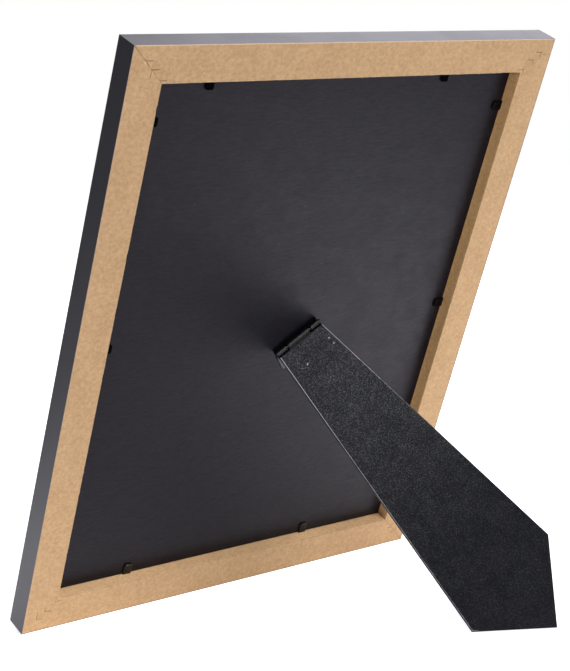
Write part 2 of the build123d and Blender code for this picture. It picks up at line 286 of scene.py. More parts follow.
class Surface:
    """Grids of points gathered into one mesh, with values on points and finishes on faces."""

    def __init__(self):
        self.points = []
        self.faces = []
        self.finishes = []
        # Values on points: wear, which on some pieces is also a painted highlight, and dirt, which on some is also
        # painted shade and sheen
        self.values = {"wear_and_painted_highlight": [], "dirt_and_painted_light": []}
        self.count = 0

    def grid(self, points, around=False, finish=0, wear_and_painted_highlight=0.0, dirt_and_painted_light=0.0):
        """Add a grid of points; around joins its last column to its first."""
        rows, columns = points.shape[:2]
        index = np.arange(rows * columns).reshape(rows, columns) + self.count
        if around:
            index = np.concatenate([index, index[:, :1]], axis=1)
        quads = np.stack([index[:-1, :-1], index[1:, :-1], index[1:, 1:], index[:-1, 1:]], -1)
        self.faces += quads.reshape(-1, 4).tolist()
        kinds = np.broadcast_to(np.asarray(finish), quads.shape[:2])
        self.finishes += kinds.ravel().tolist()
        for key, value in (("wear_and_painted_highlight", wear_and_painted_highlight), ("dirt_and_painted_light", dirt_and_painted_light)):
            self.values[key].append(np.broadcast_to(value, (rows, columns)).ravel())
        self.points.append(points.reshape(-1, 3))
        self.count += rows * columns
        return index

    def close(self, ring, finish=0):
        """Close a ring of points that are already there with one face."""
        self.faces.append([int(i) for i in ring])
        self.finishes.append(int(finish))

    def tube(self, points, finish=0, wear_and_painted_highlight=0.0, dirt_and_painted_light=0.0):
        """Add closed rings of points, one to a row, and close both ends."""
        index = self.grid(points, around=True, finish=finish, wear_and_painted_highlight=wear_and_painted_highlight, dirt_and_painted_light=dirt_and_painted_light)
        self.close(index[0, :-1], np.asarray(finish).flat[0])
        self.close(index[-1, :-1][::-1], np.asarray(finish).flat[0])

    def make(self, name, finishes, body, slot, stands_for=(), sharp=34.0):
        """Make the piece: merge what meets, turn the faces outward and shade it smooth."""
        mesh = bpy.data.meshes.new(name)
        mesh.from_pydata(np.concatenate(self.points).tolist(), [], self.faces)
        for key, values in self.values.items():
            mesh.attributes.new(key, "FLOAT", "POINT").data.foreach_set("value", np.concatenate(values))
        mesh.polygons.foreach_set("material_index", np.array(self.finishes, np.int32))
        build = bmesh.new()
        build.from_mesh(mesh)
        bmesh.ops.remove_doubles(build, verts=build.verts, dist=0.0005 * MM)
        bmesh.ops.recalc_face_normals(build, faces=build.faces)
        build.to_mesh(mesh)
        build.free()
        for look in finishes:
            mesh.materials.append(look)
        mesh.shade_smooth()
        mesh.set_sharp_from_angle(angle=math.radians(sharp))
        piece = bpy.data.objects.new(name, mesh)
        bpy.context.scene.collection.objects.link(piece)
        if isinstance(body, str):
            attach(piece, body)
        else:
            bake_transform(piece)
        if stands_for:
            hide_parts(*stands_for)
        return piece


def soften(piece, width):
    """Round a piece's sharp edges a little, so that they catch the light."""
    bevel = piece.modifiers.new("soft edges", "BEVEL")
    bevel.width = width
    bevel.segments = 2
    bevel.limit_method = "ANGLE"
    bevel.angle_limit = math.radians(40)
    bevel.loop_slide = False


def between_mitres(side_length, inward, ends, step):
    """Places along a mitred side, and each one's distance from its nearer mitre.

    A line that lies further inward is shorter by that much at both ends. It has the given
    fine steps beside each mitre, and even steps between them.
    """
    half = side_length / 2 - inward[None, :]
    middle = np.linspace(-1, 1, math.ceil(side_length / step))[1:-1, None]
    start = -half + ends[:, None]
    along = np.concatenate([start, middle * (half - ends[-1]), -start[::-1]])
    return along, half - np.abs(along)


# Finishes
def join(tree, socket, value):
    """Give a socket a value or another node's output."""
    if isinstance(value, bpy.types.NodeSocket):
        tree.links.new(value, socket)
    elif socket.type == "RGBA":
        socket.default_value = (*value[:3], 1)
    else:
        socket.default_value = value


def place(tree, kind, inputs=(), **settings):
    """Add a node. Inputs are given by name or number, as values or as other nodes' outputs."""
    node = tree.nodes.new(kind)
    for key, value in settings.items():
        setattr(node, key, value)
    for key, value in dict(inputs).items():
        join(tree, node.inputs[key], value)
    return node


def wire_up(tree, shader, **sockets):
    """Join values or outputs to the shader's inputs; underscores stand for spaces."""
    for key, value in sockets.items():
        join(tree, shader.inputs[key.replace("_", " ")], value)


def math_node(tree, operation, *values):
    """One step of arithmetic."""
    return place(tree, "ShaderNodeMath", enumerate(values), operation=operation).outputs[0]


def times(tree, value, by):
    """One value times another."""
    return math_node(tree, "MULTIPLY", value, by)


def plus(tree, value, more):
    """One value plus another."""
    return math_node(tree, "ADD", value, more)


def ramp(tree, value, low, high, start=0.0, end=1.0):
    """A value eased from start to end as the input goes from low to high."""
    inputs = {"Value": value, "From Min": low, "From Max": high, "To Min": start, "To Max": end}
    node = place(tree, "ShaderNodeMapRange", inputs, interpolation_type="SMOOTHSTEP")
    return node.outputs["Result"]


def eased(tree, portion, start, end):
    """A value eased from start to end as a portion goes from 0 to 1."""
    return ramp(tree, portion, 0.0, 1.0, start, end)


def blend(tree, factor, low, high):
    """One colour over another, by a factor."""
    return place(tree, "ShaderNodeMix", {0: factor, 6: low, 7: high}, data_type="RGBA").outputs[2]


def lay_over(tree, body, mask, most, tone):
    """A tone laid over a body where a mask is, at most by a share."""
    return blend(tree, times(tree, mask, most), body, tone)


def shaded(tone, by):
    """A tone made darker or lighter by a factor."""
    return [by * part for part in tone]


def stretched(tree, vector, by):
    """Coordinates scaled apart along the three axes, which draws a pattern out."""
    return place(tree, "ShaderNodeVectorMath", {0: vector, 1: by}, operation="MULTIPLY").outputs[0]


def carried(tree, name):
    """A value that the piece carries on its points."""
    return place(tree, "ShaderNodeAttribute", attribute_name=name).outputs["Fac"]


def noise(tree, vector, scale, detail=3.0, rough=0.55, distortion=0.0):
    """Cloudy noise from 0 to 1, whose scale is in features to a metre."""
    inputs = {"Vector": vector, "Scale": scale, "Detail": detail, "Roughness": rough}
    return place(tree, "ShaderNodeTexNoise", {**inputs, "Distortion": distortion}).outputs[0]


def cells(tree, vector, scale, feature="F1"):
    """The distance to the middle of the nearest random cell, in cells."""
    inputs = {"Vector": vector, "Scale": scale, "Randomness": 1.0}
    return place(tree, "ShaderNodeTexVoronoi", inputs, feature=feature).outputs["Distance"]


def bump(tree, height, distance, strength=1.0, under=None):
    """A bump whose full height is the given distance, over another bump if there is one."""
    inputs = {"Height": height, "Distance": distance, "Strength": strength}
    if under:
        inputs["Normal"] = under
    return place(tree, "ShaderNodeBump", inputs).outputs[0]


def group(name, inputs, outputs, wire):
    """A shared node group: named inputs with their values, named outputs, and its wiring."""
    tree = bpy.data.node_groups.get(name)
    if tree:
        return tree
    tree = bpy.data.node_groups.new(name, "ShaderNodeTree")
    for key, value in inputs.items():
        kind = "NodeSocketVector" if value is None else "NodeSocketFloat"
        socket = tree.interface.new_socket(key, in_out="INPUT", socket_type=kind)
        if value is not None:
            socket.default_value = value
    for key in outputs:
        tree.interface.new_socket(key, in_out="OUTPUT", socket_type="NodeSocketFloat")
    given = tree.nodes.new("NodeGroupInput")
    results = wire(tree, given.outputs)
    taken = tree.nodes.new("NodeGroupOutput")
    for key, socket in results.items():
        tree.links.new(socket, taken.inputs[key])
    return tree


def wire_fibres(tree, given):
    """Blotches, short and long fibres, and sparse specks, of a pressed or felted sheet."""
    vector, scale = given["Vector"], given["Fibres"]
    blotch = noise(tree, vector, given["Blotches"], 3.0, 0.6, 0.4)
    short = noise(tree, vector, scale, 4.0, 0.65, 1.6)
    drawn = stretched(tree, vector, (1.0, 2.6, 1.7))
    long = noise(tree, drawn, times(tree, scale, 0.45), 3.0, 0.6, 2.4)
    mixed = plus(tree, times(tree, short, 0.55), times(tree, long, 0.45))
    near = ramp(tree, cells(tree, vector, given["Specks"]), 0.05, 0.15, 1.0, 0.0)
    chosen = ramp(tree, noise(tree, vector, times(tree, given["Specks"], 0.7)), 0.60, 0.70)
    return {
        "Blotch": ramp(tree, blotch, 0.28, 0.72),
        "Fibre": ramp(tree, mixed, 0.32, 0.68),
        "Speck": times(tree, near, chosen),
    }


def fibres(tree, vector, blotches, threads, specks):
    """Place the shared fibre pattern, in features to a metre."""
    shared = group(
        "Felted fibres",
        {"Vector": None, "Blotches": 200.0, "Fibres": 1500.0, "Specks": 400.0},
        ("Blotch", "Fibre", "Speck"),
        wire_fibres,
    )
    inputs = {"Vector": vector, "Blotches": blotches, "Fibres": threads, "Specks": specks}
    return place(tree, "ShaderNodeGroup", inputs, node_tree=shared).outputs


def wire_wear(tree, given):
    """The piece's own value of wear and painted highlight, broken up by noise."""
    wear_and_painted_highlight = carried(tree, "wear_and_painted_highlight")
    grain = noise(tree, given["Vector"], given["Scale"], 4.0, 0.6)
    ragged = times(tree, math_node(tree, "SUBTRACT", grain, 0.5), given["Unevenness"])
    present = times(tree, plus(tree, wear_and_painted_highlight, ragged), ramp(tree, wear_and_painted_highlight, 0.0, 0.12))
    return {"Mask": ramp(tree, present, given["Low"], given["High"])}


def wear_mask(tree, vector, scale, low, high, unevenness):
    """Place the shared mask of wear and painted highlight: 1 where the piece is worn and where it
    carries a painted highlight, from its own values and noise.
    """
    shared = group(
        "Uneven wear",
        {"Vector": None, "Scale": 600.0, "Low": 0.3, "High": 0.8, "Unevenness": 0.8},
        ("Mask",),
        wire_wear,
    )
    inputs = {"Vector": vector, "Scale": scale, "Low": low, "High": high, "Unevenness": unevenness}
    return place(tree, "ShaderNodeGroup", inputs, node_tree=shared).outputs["Mask"]


def wire_dust(tree, given):
    """Sparse motes: the middles of random cells, kept where a second noise is high."""
    vector, scale = given["Vector"], given["Scale"]
    mote = ramp(tree, cells(tree, vector, scale), 0.02, 0.075, 1.0, 0.0)
    cloud = noise(tree, vector, times(tree, scale, 0.31))
    kept = ramp(tree, cloud, given["Rarity"], plus(tree, given["Rarity"], 0.04))
    return {"Mask": times(tree, mote, kept)}


def dust(tree, vector, scale, rarity):
    """Place the shared dust mask."""
    shared = group("Dust motes", {"Vector": None, "Scale": 200.0, "Rarity": 0.6}, ("Mask",), wire_dust)
    inputs = {"Vector": vector, "Scale": scale, "Rarity": rarity}
    return place(tree, "ShaderNodeGroup", inputs, node_tree=shared).outputs["Mask"]


def start_finish(name):
    """A new finish with its shader, and the coordinates that its patterns follow."""
    look = bpy.data.materials.new(name)
    look.use_nodes = True
    tree = look.node_tree
    return look, tree, tree.nodes["Principled BSDF"], place(tree, "ShaderNodeTexCoord").outputs["Object"]


# How each face's tone is warmed; the bottom wall, which faces up, is painted paler, painted light from above
FACE_WARMTH = {"raw": (1.0, 1.0, 1.0), "cut": (1.14, 1.06, 0.86), "lit_facing_up": (1.50, 1.48, 1.42)}


def raw_fibreboard(face="raw"):
    """Sawn fibreboard: felted tan fibres, dark specks, pale torn fibre at edges and slots.

    Where the rebate was cut, its tone is warmer; the bottom wall, which faces up, is painted
    paler and more even, as painted light from above.
    """
    tones = looks()[1]
    look, tree, shader, vector = start_finish(f"{face}_fibreboard")
    pattern = fibres(tree, vector, blotches=430.0, threads=1350.0, specks=300.0)
    broad = ramp(tree, noise(tree, vector, 60.0, 2.0), 0.3, 0.7)
    felt = plus(tree, times(tree, pattern["Blotch"], 0.44), times(tree, pattern["Fibre"], 0.42))
    shade = plus(tree, felt, times(tree, broad, 0.14))
    # The bottom wall's fibres are painted flatter, part of its painted light from above
    if face == "lit_facing_up":
        shade = eased(tree, shade, 0.35, 1.0)
    dark = [warm * part for warm, part in zip(FACE_WARMTH[face], tones.fibreboard_dark)]
    pale = [warm * part for warm, part in zip(FACE_WARMTH[face], tones.fibreboard)]
    body = lay_over(tree, blend(tree, shade, dark, pale), pattern["Speck"], 0.65, (0.16, 0.085, 0.04))
    torn = wear_mask(tree, vector, scale=900.0, low=0.30, high=0.95, unevenness=0.7)
    body = blend(tree, torn, body, tones.torn_fibre)
    # Dark joints, slots and wall band, and painted shadow in the rebate's corners
    body = lay_over(tree, body, carried(tree, "dirt_and_painted_light"), 0.85, tones.joints_and_shade)
    height = plus(tree, pattern["Fibre"], times(tree, noise(tree, vector, 5200.0, 3.0, 0.7), 0.6))
    wire_up(
        tree,
        shader,
        Base_Color=body,
        Roughness=eased(tree, pattern["Fibre"], 0.95, 0.82),
        Normal=bump(tree, height, 0.09 * MM, 0.8),
        Specular_IOR_Level=0.25,
    )
    return look


def charcoal_foil():
    """Printed wrapping foil: near black, satin, with faint haze and a slight orange peel."""
    tones = looks()[1]
    look, tree, shader, vector = start_finish("charcoal_foil")
    haze = ramp(tree, noise(tree, vector, 34.0, 4.0, 0.6, 0.6), 0.3, 0.75)
    body = blend(tree, haze, tones.foil, shaded(tones.foil, 1.15))
    motes = dust(tree, vector, scale=330.0, rarity=0.64)
    body = lay_over(tree, body, motes, 0.25, (0.35, 0.34, 0.35))
    rubbed = wear_mask(tree, vector, scale=700.0, low=0.45, high=1.0, unevenness=0.9)
    body = lay_over(tree, body, rubbed, 0.30, (0.20, 0.19, 0.21))
    peel = noise(tree, vector, 1100.0, 2.0, 0.5)
    telegraph = noise(tree, vector, 120.0, 2.0, 0.5)
    height = plus(tree, times(tree, peel, 0.25), telegraph)
    wire_up(
        tree,
        shader,
        Base_Color=body,
        Roughness=eased(tree, haze, 0.40, 0.43),
        Normal=bump(tree, height, 0.010 * MM, 0.7),
        Specular_Tint=(0.87, 0.85, 1.0),
        Specular_IOR_Level=0.6,
    )
    return look


def cut_edge():
    """The foil's cut edge: a pale pinkish line of paper core, soiled where the piece is."""
    tones = looks()[1]
    look, tree, shader, vector = start_finish("foil_cut_edge")
    grain = ramp(tree, noise(tree, vector, 900.0, 3.0), 0.3, 0.7)
    body = blend(tree, grain, shaded(tones.foil_edge, 0.7), tones.foil_edge)
    body = blend(tree, carried(tree, "dirt_and_painted_light"), body, (0.09, 0.10, 0.13))
    wire_up(tree, shader, Base_Color=body, Roughness=0.85)
    return look


def felted_paper(name, tone, roughness, wave, gloss):
    """Dark paper on board: cloudy tone, fine felt, faint long waves and a few motes."""
    look, tree, shader, vector = start_finish(name)
    pattern = fibres(tree, vector, blotches=60.0, threads=1500.0, specks=260.0)
    body = blend(tree, pattern["Blotch"], shaded(tone, 0.86), shaded(tone, 1.12))
    body = lay_over(tree, body, pattern["Fibre"], 0.35, shaded(tone, 1.5))
    motes = dust(tree, vector, scale=240.0, rarity=0.59)
    body = lay_over(tree, body, motes, 0.5, (0.22, 0.22, 0.24))
    waves = noise(tree, stretched(tree, vector, (0.55, 1.0, 1.5)), 210.0, 2.0, 0.45, 1.1)
    drawn = noise(tree, stretched(tree, vector, (0.3, 1.0, 1.6)), 520.0, 3.0, 0.6, 0.6)
    felt = bump(tree, pattern["Fibre"], 0.035 * MM, 0.7)
    wire_up(
        tree,
        shader,
        Base_Color=body,
        Roughness=eased(tree, pattern["Blotch"], roughness - 0.05, roughness + 0.05),
        Normal=bump(tree, waves, wave, 0.8, felt),
        Specular_IOR_Level=times(tree, ramp(tree, drawn, 0.3, 0.7, 0.88, 1.12), gloss),
        Specular_Tint=(0.91, 0.86, 1.0),
    )
    return look


def backing_paper():
    """The black paper on the backing board."""
    return felted_paper("black_backing_paper", looks()[1].backing_paper, 0.36, 0.11 * MM, 0.195)


def lining_paper():
    """The black paper on the strut's inner side."""
    return felted_paper("black_lining_paper", looks()[1].lining, 0.72, 0.05 * MM, 0.3)


def leatherette():
    """Embossed leatherette paper: small uneven pebbles that catch the light, pale where rubbed and
    where highlights are painted on the arris and the clinches' tips.

    Its value of dirt and painted light says how far it was handled, which polishes the tops of
    its grain and also paints a sheen that is brightest beside the hinge and fades towards the foot.
    """
    tones = looks()[1]
    look, tree, shader, vector = start_finish("black_leatherette")
    sway = place(tree, "ShaderNodeTexNoise", {"Vector": vector, "Scale": 700.0, "Detail": 2.0})
    inputs = {0: sway.outputs["Color"], 1: (0.7 * MM, 0.7 * MM, 0.7 * MM), 2: vector}
    warped = place(tree, "ShaderNodeVectorMath", inputs, operation="MULTIPLY_ADD").outputs[0]
    pebbles = cells(tree, warped, 1500.0, "SMOOTH_F1")
    creases = ramp(tree, noise(tree, warped, 1250.0, 3.0, 0.7, 0.3), 0.30, 0.70)
    height = math_node(tree, "SUBTRACT", creases, times(tree, pebbles, 0.8))
    tops = ramp(tree, height, 0.10, 0.70)
    handled_and_sheen = carried(tree, "dirt_and_painted_light")
    cloudy = ramp(tree, noise(tree, vector, 75.0, 2.0, 0.5, 0.8), 0.3, 0.7, 0.8, 1.2)
    # Painted sheen: near the hinge, where the cover was handled, the grain's tops are drawn lighter and glossier
    polished_and_sheen = times(tree, tops, eased(tree, handled_and_sheen, 0.20, 1.2))
    body = blend(tree, polished_and_sheen, tones.leatherette, tones.leatherette_tops)
    rubbed = wear_mask(tree, vector, scale=420.0, low=0.20, high=0.75, unevenness=0.55)
    body = lay_over(tree, body, rubbed, 0.85, tones.leatherette_worn_and_lit)
    motes = dust(tree, vector, scale=420.0, rarity=0.66)
    body = lay_over(tree, body, motes, 0.3, (0.3, 0.3, 0.3))
    gloss = times(tree, cloudy, eased(tree, handled_and_sheen, 0.55, 1.5))
    wire_up(
        tree,
        shader,
        Base_Color=body,
        Roughness=eased(tree, tops, 0.50, 0.36),
        Normal=bump(tree, height, 0.10 * MM),
        Specular_IOR_Level=times(tree, eased(tree, tops, 0.16, 0.42), gloss),
    )
    return look


def lacquered_steel():
    """Black lacquer on sheet steel, rubbed to grey metal at its edges, which on the points' tips
    is also a painted highlight, and without reflection where a piece carries painted shade.
    """
    tones = looks()[1]
    look, tree, shader, vector = start_finish("black_steel")
    rubbed = wear_mask(tree, vector, scale=1500.0, low=0.45, high=0.95, unevenness=0.8)
    streaks = noise(tree, vector, 700.0, 3.0, 0.6)
    wire_up(
        tree,
        shader,
        Base_Color=lay_over(tree, tones.black_steel, rubbed, 0.55, tones.bare_steel),
        Metallic=times(tree, rubbed, 0.8),
        Roughness=ramp(tree, streaks, 0.3, 0.7, 0.24, 0.32),
        Normal=bump(tree, streaks, 0.008 * MM, 0.6),
        # Painted shade: the reflection is taken away where the piece marks shade, in the hinge's crook and on the
        # points
        Specular_IOR_Level=eased(tree, carried(tree, "dirt_and_painted_light"), 0.55, 0.0),
    )
    return look


def drawn_steel():
    """Bare steel with fine drawing marks, dulled by tarnish."""
    tone = looks()[1].bare_steel
    look, tree, shader, vector = start_finish("bare_steel")
    lines = noise(tree, stretched(tree, vector, (1.0, 1.0, 9.0)), 900.0, 3.0, 0.6)
    tarnish = ramp(tree, noise(tree, vector, 300.0, 3.0), 0.35, 0.7)
    wire_up(
        tree,
        shader,
        Base_Color=blend(tree, tarnish, tone, shaded(tone, 0.55)),
        Metallic=1.0,
        Roughness=ramp(tree, lines, 0.3, 0.7, 0.30, 0.48),
        Normal=bump(tree, lines, 0.010 * MM, 0.6),
    )
    return look


def pressed_greyboard():
    """The grey-brown cut edges and faces of pressed board, in fibres and specks."""
    tones = looks()[1]
    look, tree, shader, vector = start_finish("greyboard")
    pattern = fibres(tree, vector, blotches=240.0, threads=1700.0, specks=420.0)
    body = blend(tree, pattern["Fibre"], shaded(tones.greyboard, 0.75), tones.greyboard)
    wire_up(
        tree,
        shader,
        Base_Color=lay_over(tree, body, pattern["Speck"], 0.6, (0.05, 0.045, 0.04)),
        Roughness=0.92,
        Normal=bump(tree, pattern["Fibre"], 0.08 * MM, 0.8),
        Specular_IOR_Level=0.2,
    )
    return look


def bare_sheet():
    """A plain white sheet with a faint paper tooth."""
    tones = looks()[1]
    look, tree, shader, vector = start_finish("bare_sheet")
    pattern = fibres(tree, vector, blotches=90.0, threads=2200.0, specks=300.0)
    body = blend(tree, pattern["Blotch"], shaded(tones.sheet, 0.97), tones.sheet)
    tooth = bump(tree, pattern["Fibre"], 0.01 * MM, 0.5)
    wire_up(tree, shader, Base_Color=body, Roughness=0.75, Normal=tooth)
    return look


def clear_glass():
    """Float glass with a trace of green."""
    tone = looks()[1].glass
    look, tree, shader, _ = start_finish("clear_glass")
    wire_up(tree, shader, Base_Color=tone, Roughness=0.0, Transmission_Weight=1.0, IOR=1.5)
    return look


FINISHES = {}


def finish(maker, *values):
    """Make each finish once."""
    if (maker, *values) not in FINISHES:
        FINISHES[maker, *values] = maker(*values)
    return FINISHES[maker, *values]


def dress(node, look):
    """Give a node that keeps its own mesh its finish."""
    materials = frame["nodes"][node].data.materials
    materials.clear()
    materials.append(look)


# Moulding
# How far each mitre has opened, and how much old glue and painted shadow each corner of
# the rebate shows, most where the top rail and the strut shade the wall
OPEN_MITRES = {"top_left": 0.15, "top_right": 1.0, "bottom_left": 0.75, "bottom_right": 0.15}
CORNER_GLUE_AND_SHADOW = {"top_left": 0.85, "top_right": 0.3, "bottom_left": 0.6, "bottom_right": 0.3}
# How open each nail's slot is, from the outer nail inward, in the level and the upright rail
SLOT_SHARES = {
    "top_left": ((0.7, 0.8, 0.5), (0.3, 0.3, 0.2)),
    "top_right": ((0.9, 0.9, 0.6), (0.0, 0.12, 0.0)),
    "bottom_left": ((0.4, 0.3, 0.3), (0.3, 0.2, 0.3)),
    "bottom_right": ((0.7, 0.5, 0.2), (0.5, 0.2, 0.1)),
}
# How pale each rail's inner edge is frayed, and how worn and how soiled its outer edge is
RAW_EDGES = {
    "top": (0.85, 0.9, 0.0),
    "bottom": (0.15, 0.0, 0.45),
    "left": (0.75, 0.1, 0.35),
    "right": (0.55, 0.4, 0.0),
}
SOILED_FOIL = {"top": 0.0, "bottom": 0.95, "left": 0.9, "right": 0.7}
# Where the nails stand across a rail, and the mesh's lines beside a slot in half widths
NAIL_SHARES = (0.40, 0.63, 0.92)
SLOT_LINES = np.array([-3.6, -2.0, -1.0, -0.8, 0.8, 1.0, 2.0, 3.6])
# The mesh's fine steps away from a mitre, in the raw back and in the foil
FINE_ENDS = np.concatenate([
    np.array([0.0, 0.07, 0.15, 0.26]) * MM,
    np.arange(0.45, 5.6, 0.28) * MM,
    np.array([6.2, 7.2, 8.6, 10.5, 13.0]) * MM,
])
FOIL_ENDS = np.array([0, 0.3, 0.9, 2.5, 6]) * MM


def end_corners(side):
    """The corner at each end of a side, first where its places along are negative."""
    order = {"top": ("right", "left"), "bottom": ("left", "right")}
    if side in order:
        return [f"{side}_{end}" for end in order[side]]
    order = {"left": ("top", "bottom"), "right": ("bottom", "top")}
    return [f"{end}_{side}" for end in order[side]]


def rail_section():
    """A rail's section as a closed loop of points inward and towards the front.

    It runs over the raw back with lines at the edges of the V-nail slots, down the rebate
    wall, over the lip and round under the foil.
    """
    sizes = looks()[0]
    closest = 0.03 * MM
    clear = 0.5 * MM
    broken = 0.12 * MM
    lines = [spread(SKIN, RAIL_WIDTH - clear, step=0.85 * MM)]
    lines += [nail * RAIL_WIDTH + SLOT_LINES * sizes.nail_slot / 2 for nail in NAIL_SHARES]
    back = np.unique(np.round(np.concatenate(lines), 8))
    back = back[np.concatenate([[True], np.diff(back) > closest])]
    wall = spread(clear, REBATE_DEPTH, step=1.3 * MM)
    under = sizes.arris - SKIN
    inner = SIGHT - SKIN
    front = RAIL_DEPTH - SKIN
    sight = sizes.sight_arris - SKIN
    return np.concatenate([
        np.stack([back, np.zeros(len(back))], -1),
        [(RAIL_WIDTH - broken, 0), (RAIL_WIDTH, broken)],
        np.stack([np.full(len(wall), RAIL_WIDTH), wall], -1),
        [(inner, REBATE_DEPTH)],
        arc((inner - sight, front - sight), sight, 0, 90, 6),
        arc((SKIN + under, front - under), under, 90, 180, 6),
    ])


class RawRail:
    """A rail: its section carried between the mitres, then worked over on its raw faces.

    Its arrays have a row for each place along and a column for each point of the section:
    how far inward, how deep and how far along it lies, how worn it is, and how dark it is
    drawn by dirt and by painted shade.
    """

    def __init__(self, side):
        self.side = side
        self.sizes = looks()[0]
        self.setting, side_length = RAILS[side]
        self.ends = end_corners(side)
        self.section = rail_section()
        across, deep = self.section.T
        self.along, self.from_mitre = between_mitres(side_length, across, FINE_ENDS, 1.25 * MM)
        self.inward = np.broadcast_to(across, self.along.shape).copy()
        self.depth = np.broadcast_to(deep, self.along.shape).copy()
        self.spots = self.points()
        self.on_back = deep < HAIR
        self.on_wall = across >= RAIL_WIDTH - HAIR
        self.wear_and_painted_highlight = np.zeros(self.along.shape)
        self.dirt_and_painted_light = np.zeros(self.along.shape)

    def points(self):
        """The rail's points where they lie now, in the row frame."""
        return self.setting.out(np.stack([self.inward, self.depth, self.along], -1))

    def by_corner(self, table):
        """Each corner's value from a table, over the half of the rail that is nearer to it."""
        return np.where(self.along < 0, table[self.ends[0]], table[self.ends[1]])

    def darken(self, dirt_and_painted_light):
        """Make the rail at least this dark, by dirt and by painted shade."""
        self.dirt_and_painted_light = np.maximum(self.dirt_and_painted_light, dirt_and_painted_light)

    def drive_nails(self):
        """Sink the back where the V-nails were driven, and raise torn fibre along the slots.

        The fibre is a bell curve across, beside the slot, and runs out past the leg's end.
        Slots that are less open have closed again over the nail, unevenly.
        """
        half = self.sizes.nail_slot / 2
        lip_height = 0.17 * MM
        rough = 0.5 + 0.5 * wander(self.spots, size=1.1 * MM, seed=3)
        rail = 1 if self.side in ("left", "right") else 0
        for number, nail in enumerate(NAIL_SHARES):
            beside = np.abs(self.inward - nail * RAIL_WIDTH)
            for sign, corner in zip((-1, 1), self.ends):
                here = self.on_back & (np.sign(self.along) == sign)
                slot = SLOT_SHARES[corner][rail][number]
                leg = self.sizes.nail_leg * (0.85 + 0.35 * slot)
                lip = np.exp(-((beside - 1.7 * half) / (1.5 * half)) ** 2)
                lip *= np.clip(1.25 - self.from_mitre / leg, 0, 1) * here
                self.depth -= lip_height * lip * rough
                self.wear_and_painted_highlight = np.maximum(self.wear_and_painted_highlight, (0.95 - 0.35 * slot) * lip * rough)
                sunk = here & (self.from_mitre < leg) & (beside < 0.9 * half) & (slot > 0)
                closed = np.clip(1.3 - slot - rough * (1.2 - slot), 0, 1)
                self.depth = np.where(sunk, self.sizes.nail_sink * (1 - 0.9 * closed), self.depth)
                self.dirt_and_painted_light = np.where(sunk, 1 - 0.8 * closed, self.dirt_and_painted_light)

    def open_mitres(self):
        """Part the mitres at the back by a share of the gap, most at the outer edge."""
        down, beside, sunk, line = 1.2 * MM, 0.25 * MM, 0.12 * MM, 0.10 * MM
        outward = 1 - self.section[:, 0] / RAIL_WIDTH
        uneven = 0.65 + 0.35 * wander(self.spots, size=5 * MM, seed=5)
        crack = self.by_corner(OPEN_MITRES) * uneven * (0.55 + 0.45 * outward)
        parted = 0.5 * self.sizes.mitre_gap * crack * (self.depth < down)
        self.along = self.along - np.sign(self.along) * parted * np.exp(-self.from_mitre / beside)
        self.depth += self.on_back * 0.5 * parted * np.exp(-self.from_mitre / sunk)
        self.darken((self.from_mitre < line) * self.on_back * np.clip(0.35 + 0.9 * crack, 0, 1))

    def chip_edges(self):
        """Chip and fray the inner edge by noise of three sizes, and rub and soil the outer one."""
        row, least, whole, ease = 7.0 * MM, 0.03 * MM, 0.4 * MM, 1.5 * MM
        number = np.full(self.along.shape, SIDES.index(self.side))
        places = np.stack([self.along, np.full(self.along.shape, row), number], -1)
        coarse = wander(places, size=5.5 * MM, seed=11)
        medium = wander(places, size=1.7 * MM, seed=12)
        fine = wander(places, size=0.7 * MM, seed=13)
        chip = np.clip(0.9 * coarse + 0.8 * medium + 0.5 * fine - 0.4, 0, 1) * self.sizes.chip
        chip += least * (1 + fine)
        chip *= np.clip((self.from_mitre - whole) / ease, 0, 1)
        pale, rubbed, soiled = RAW_EDGES[self.side]
        frayed = pale * np.clip(0.62 + 0.5 * medium + 0.3 * coarse, 0, 1)
        outer, *_, edge = np.flatnonzero(self.on_back)
        self.inward[:, edge] -= chip[:, edge]
        self.depth[:, edge + 1] += 0.9 * chip[:, edge + 1]
        self.wear_and_painted_highlight[:, edge] = frayed[:, edge]
        self.wear_and_painted_highlight[:, edge + 1] = 0.8 * frayed[:, edge + 1]
        self.wear_and_painted_highlight[:, edge - 1] = np.maximum(self.wear_and_painted_highlight[:, edge - 1], 0.25 * frayed[:, edge - 1])
        self.wear_and_painted_highlight[:, outer] = rubbed
        self.dirt_and_painted_light[:, outer] = np.maximum(self.dirt_and_painted_light[:, outer], soiled)

    def cut_rebate(self):
        """Ripple the rebate's wall as the cutter left it, darken it in a streaky band across its
        depth, and darken its ends by old glue and by painted shadow in the corners.

        The back waves a little. The bottom rail's wall, which faces up and is painted paler as if lit
        from above, shows less of the band and the corners.
        """
        # The bottom wall is painted as lit from above: paler, with less of the band and the corner shade
        lit_facing_up = self.side == "bottom"
        slight, tooth = 0.02 * MM, 2.6 * MM
        first, last = 0.4 * MM, REBATE_DEPTH - 1 * MM
        band_from, band_to, ease, shallow = 2.2 * MM, 7.5 * MM, 1.2 * MM, 3 * MM
        line, corner_down, corner_along = 0.2 * MM, 5 * MM, 3.4 * MM
        ripple = slight * np.sin(self.along * 2 * math.pi / tooth) * self.on_wall
        self.inward += ripple * ((self.depth > first) & (self.depth < last))
        self.depth += self.on_back * slight * wander(self.spots, size=14 * MM, seed=21)
        # A streaky darker band across the wall, from a little inside its back edge to near the board
        dark_band = self.on_wall * np.clip(self.depth / band_from, 0, 1)
        dark_band *= np.clip((band_to - self.depth) / ease, 0, 1)
        streaks = wander(self.spots * (4, 4, 1), size=4 * MM, seed=22)
        streaky = 0.12 + 0.07 * streaks + 0.05 * (self.depth < shallow)
        self.darken(dark_band * streaky * (0.15 if lit_facing_up else 1.0))
        self.darken(0.9 * self.on_wall * (self.from_mitre < line) * (self.depth > line))
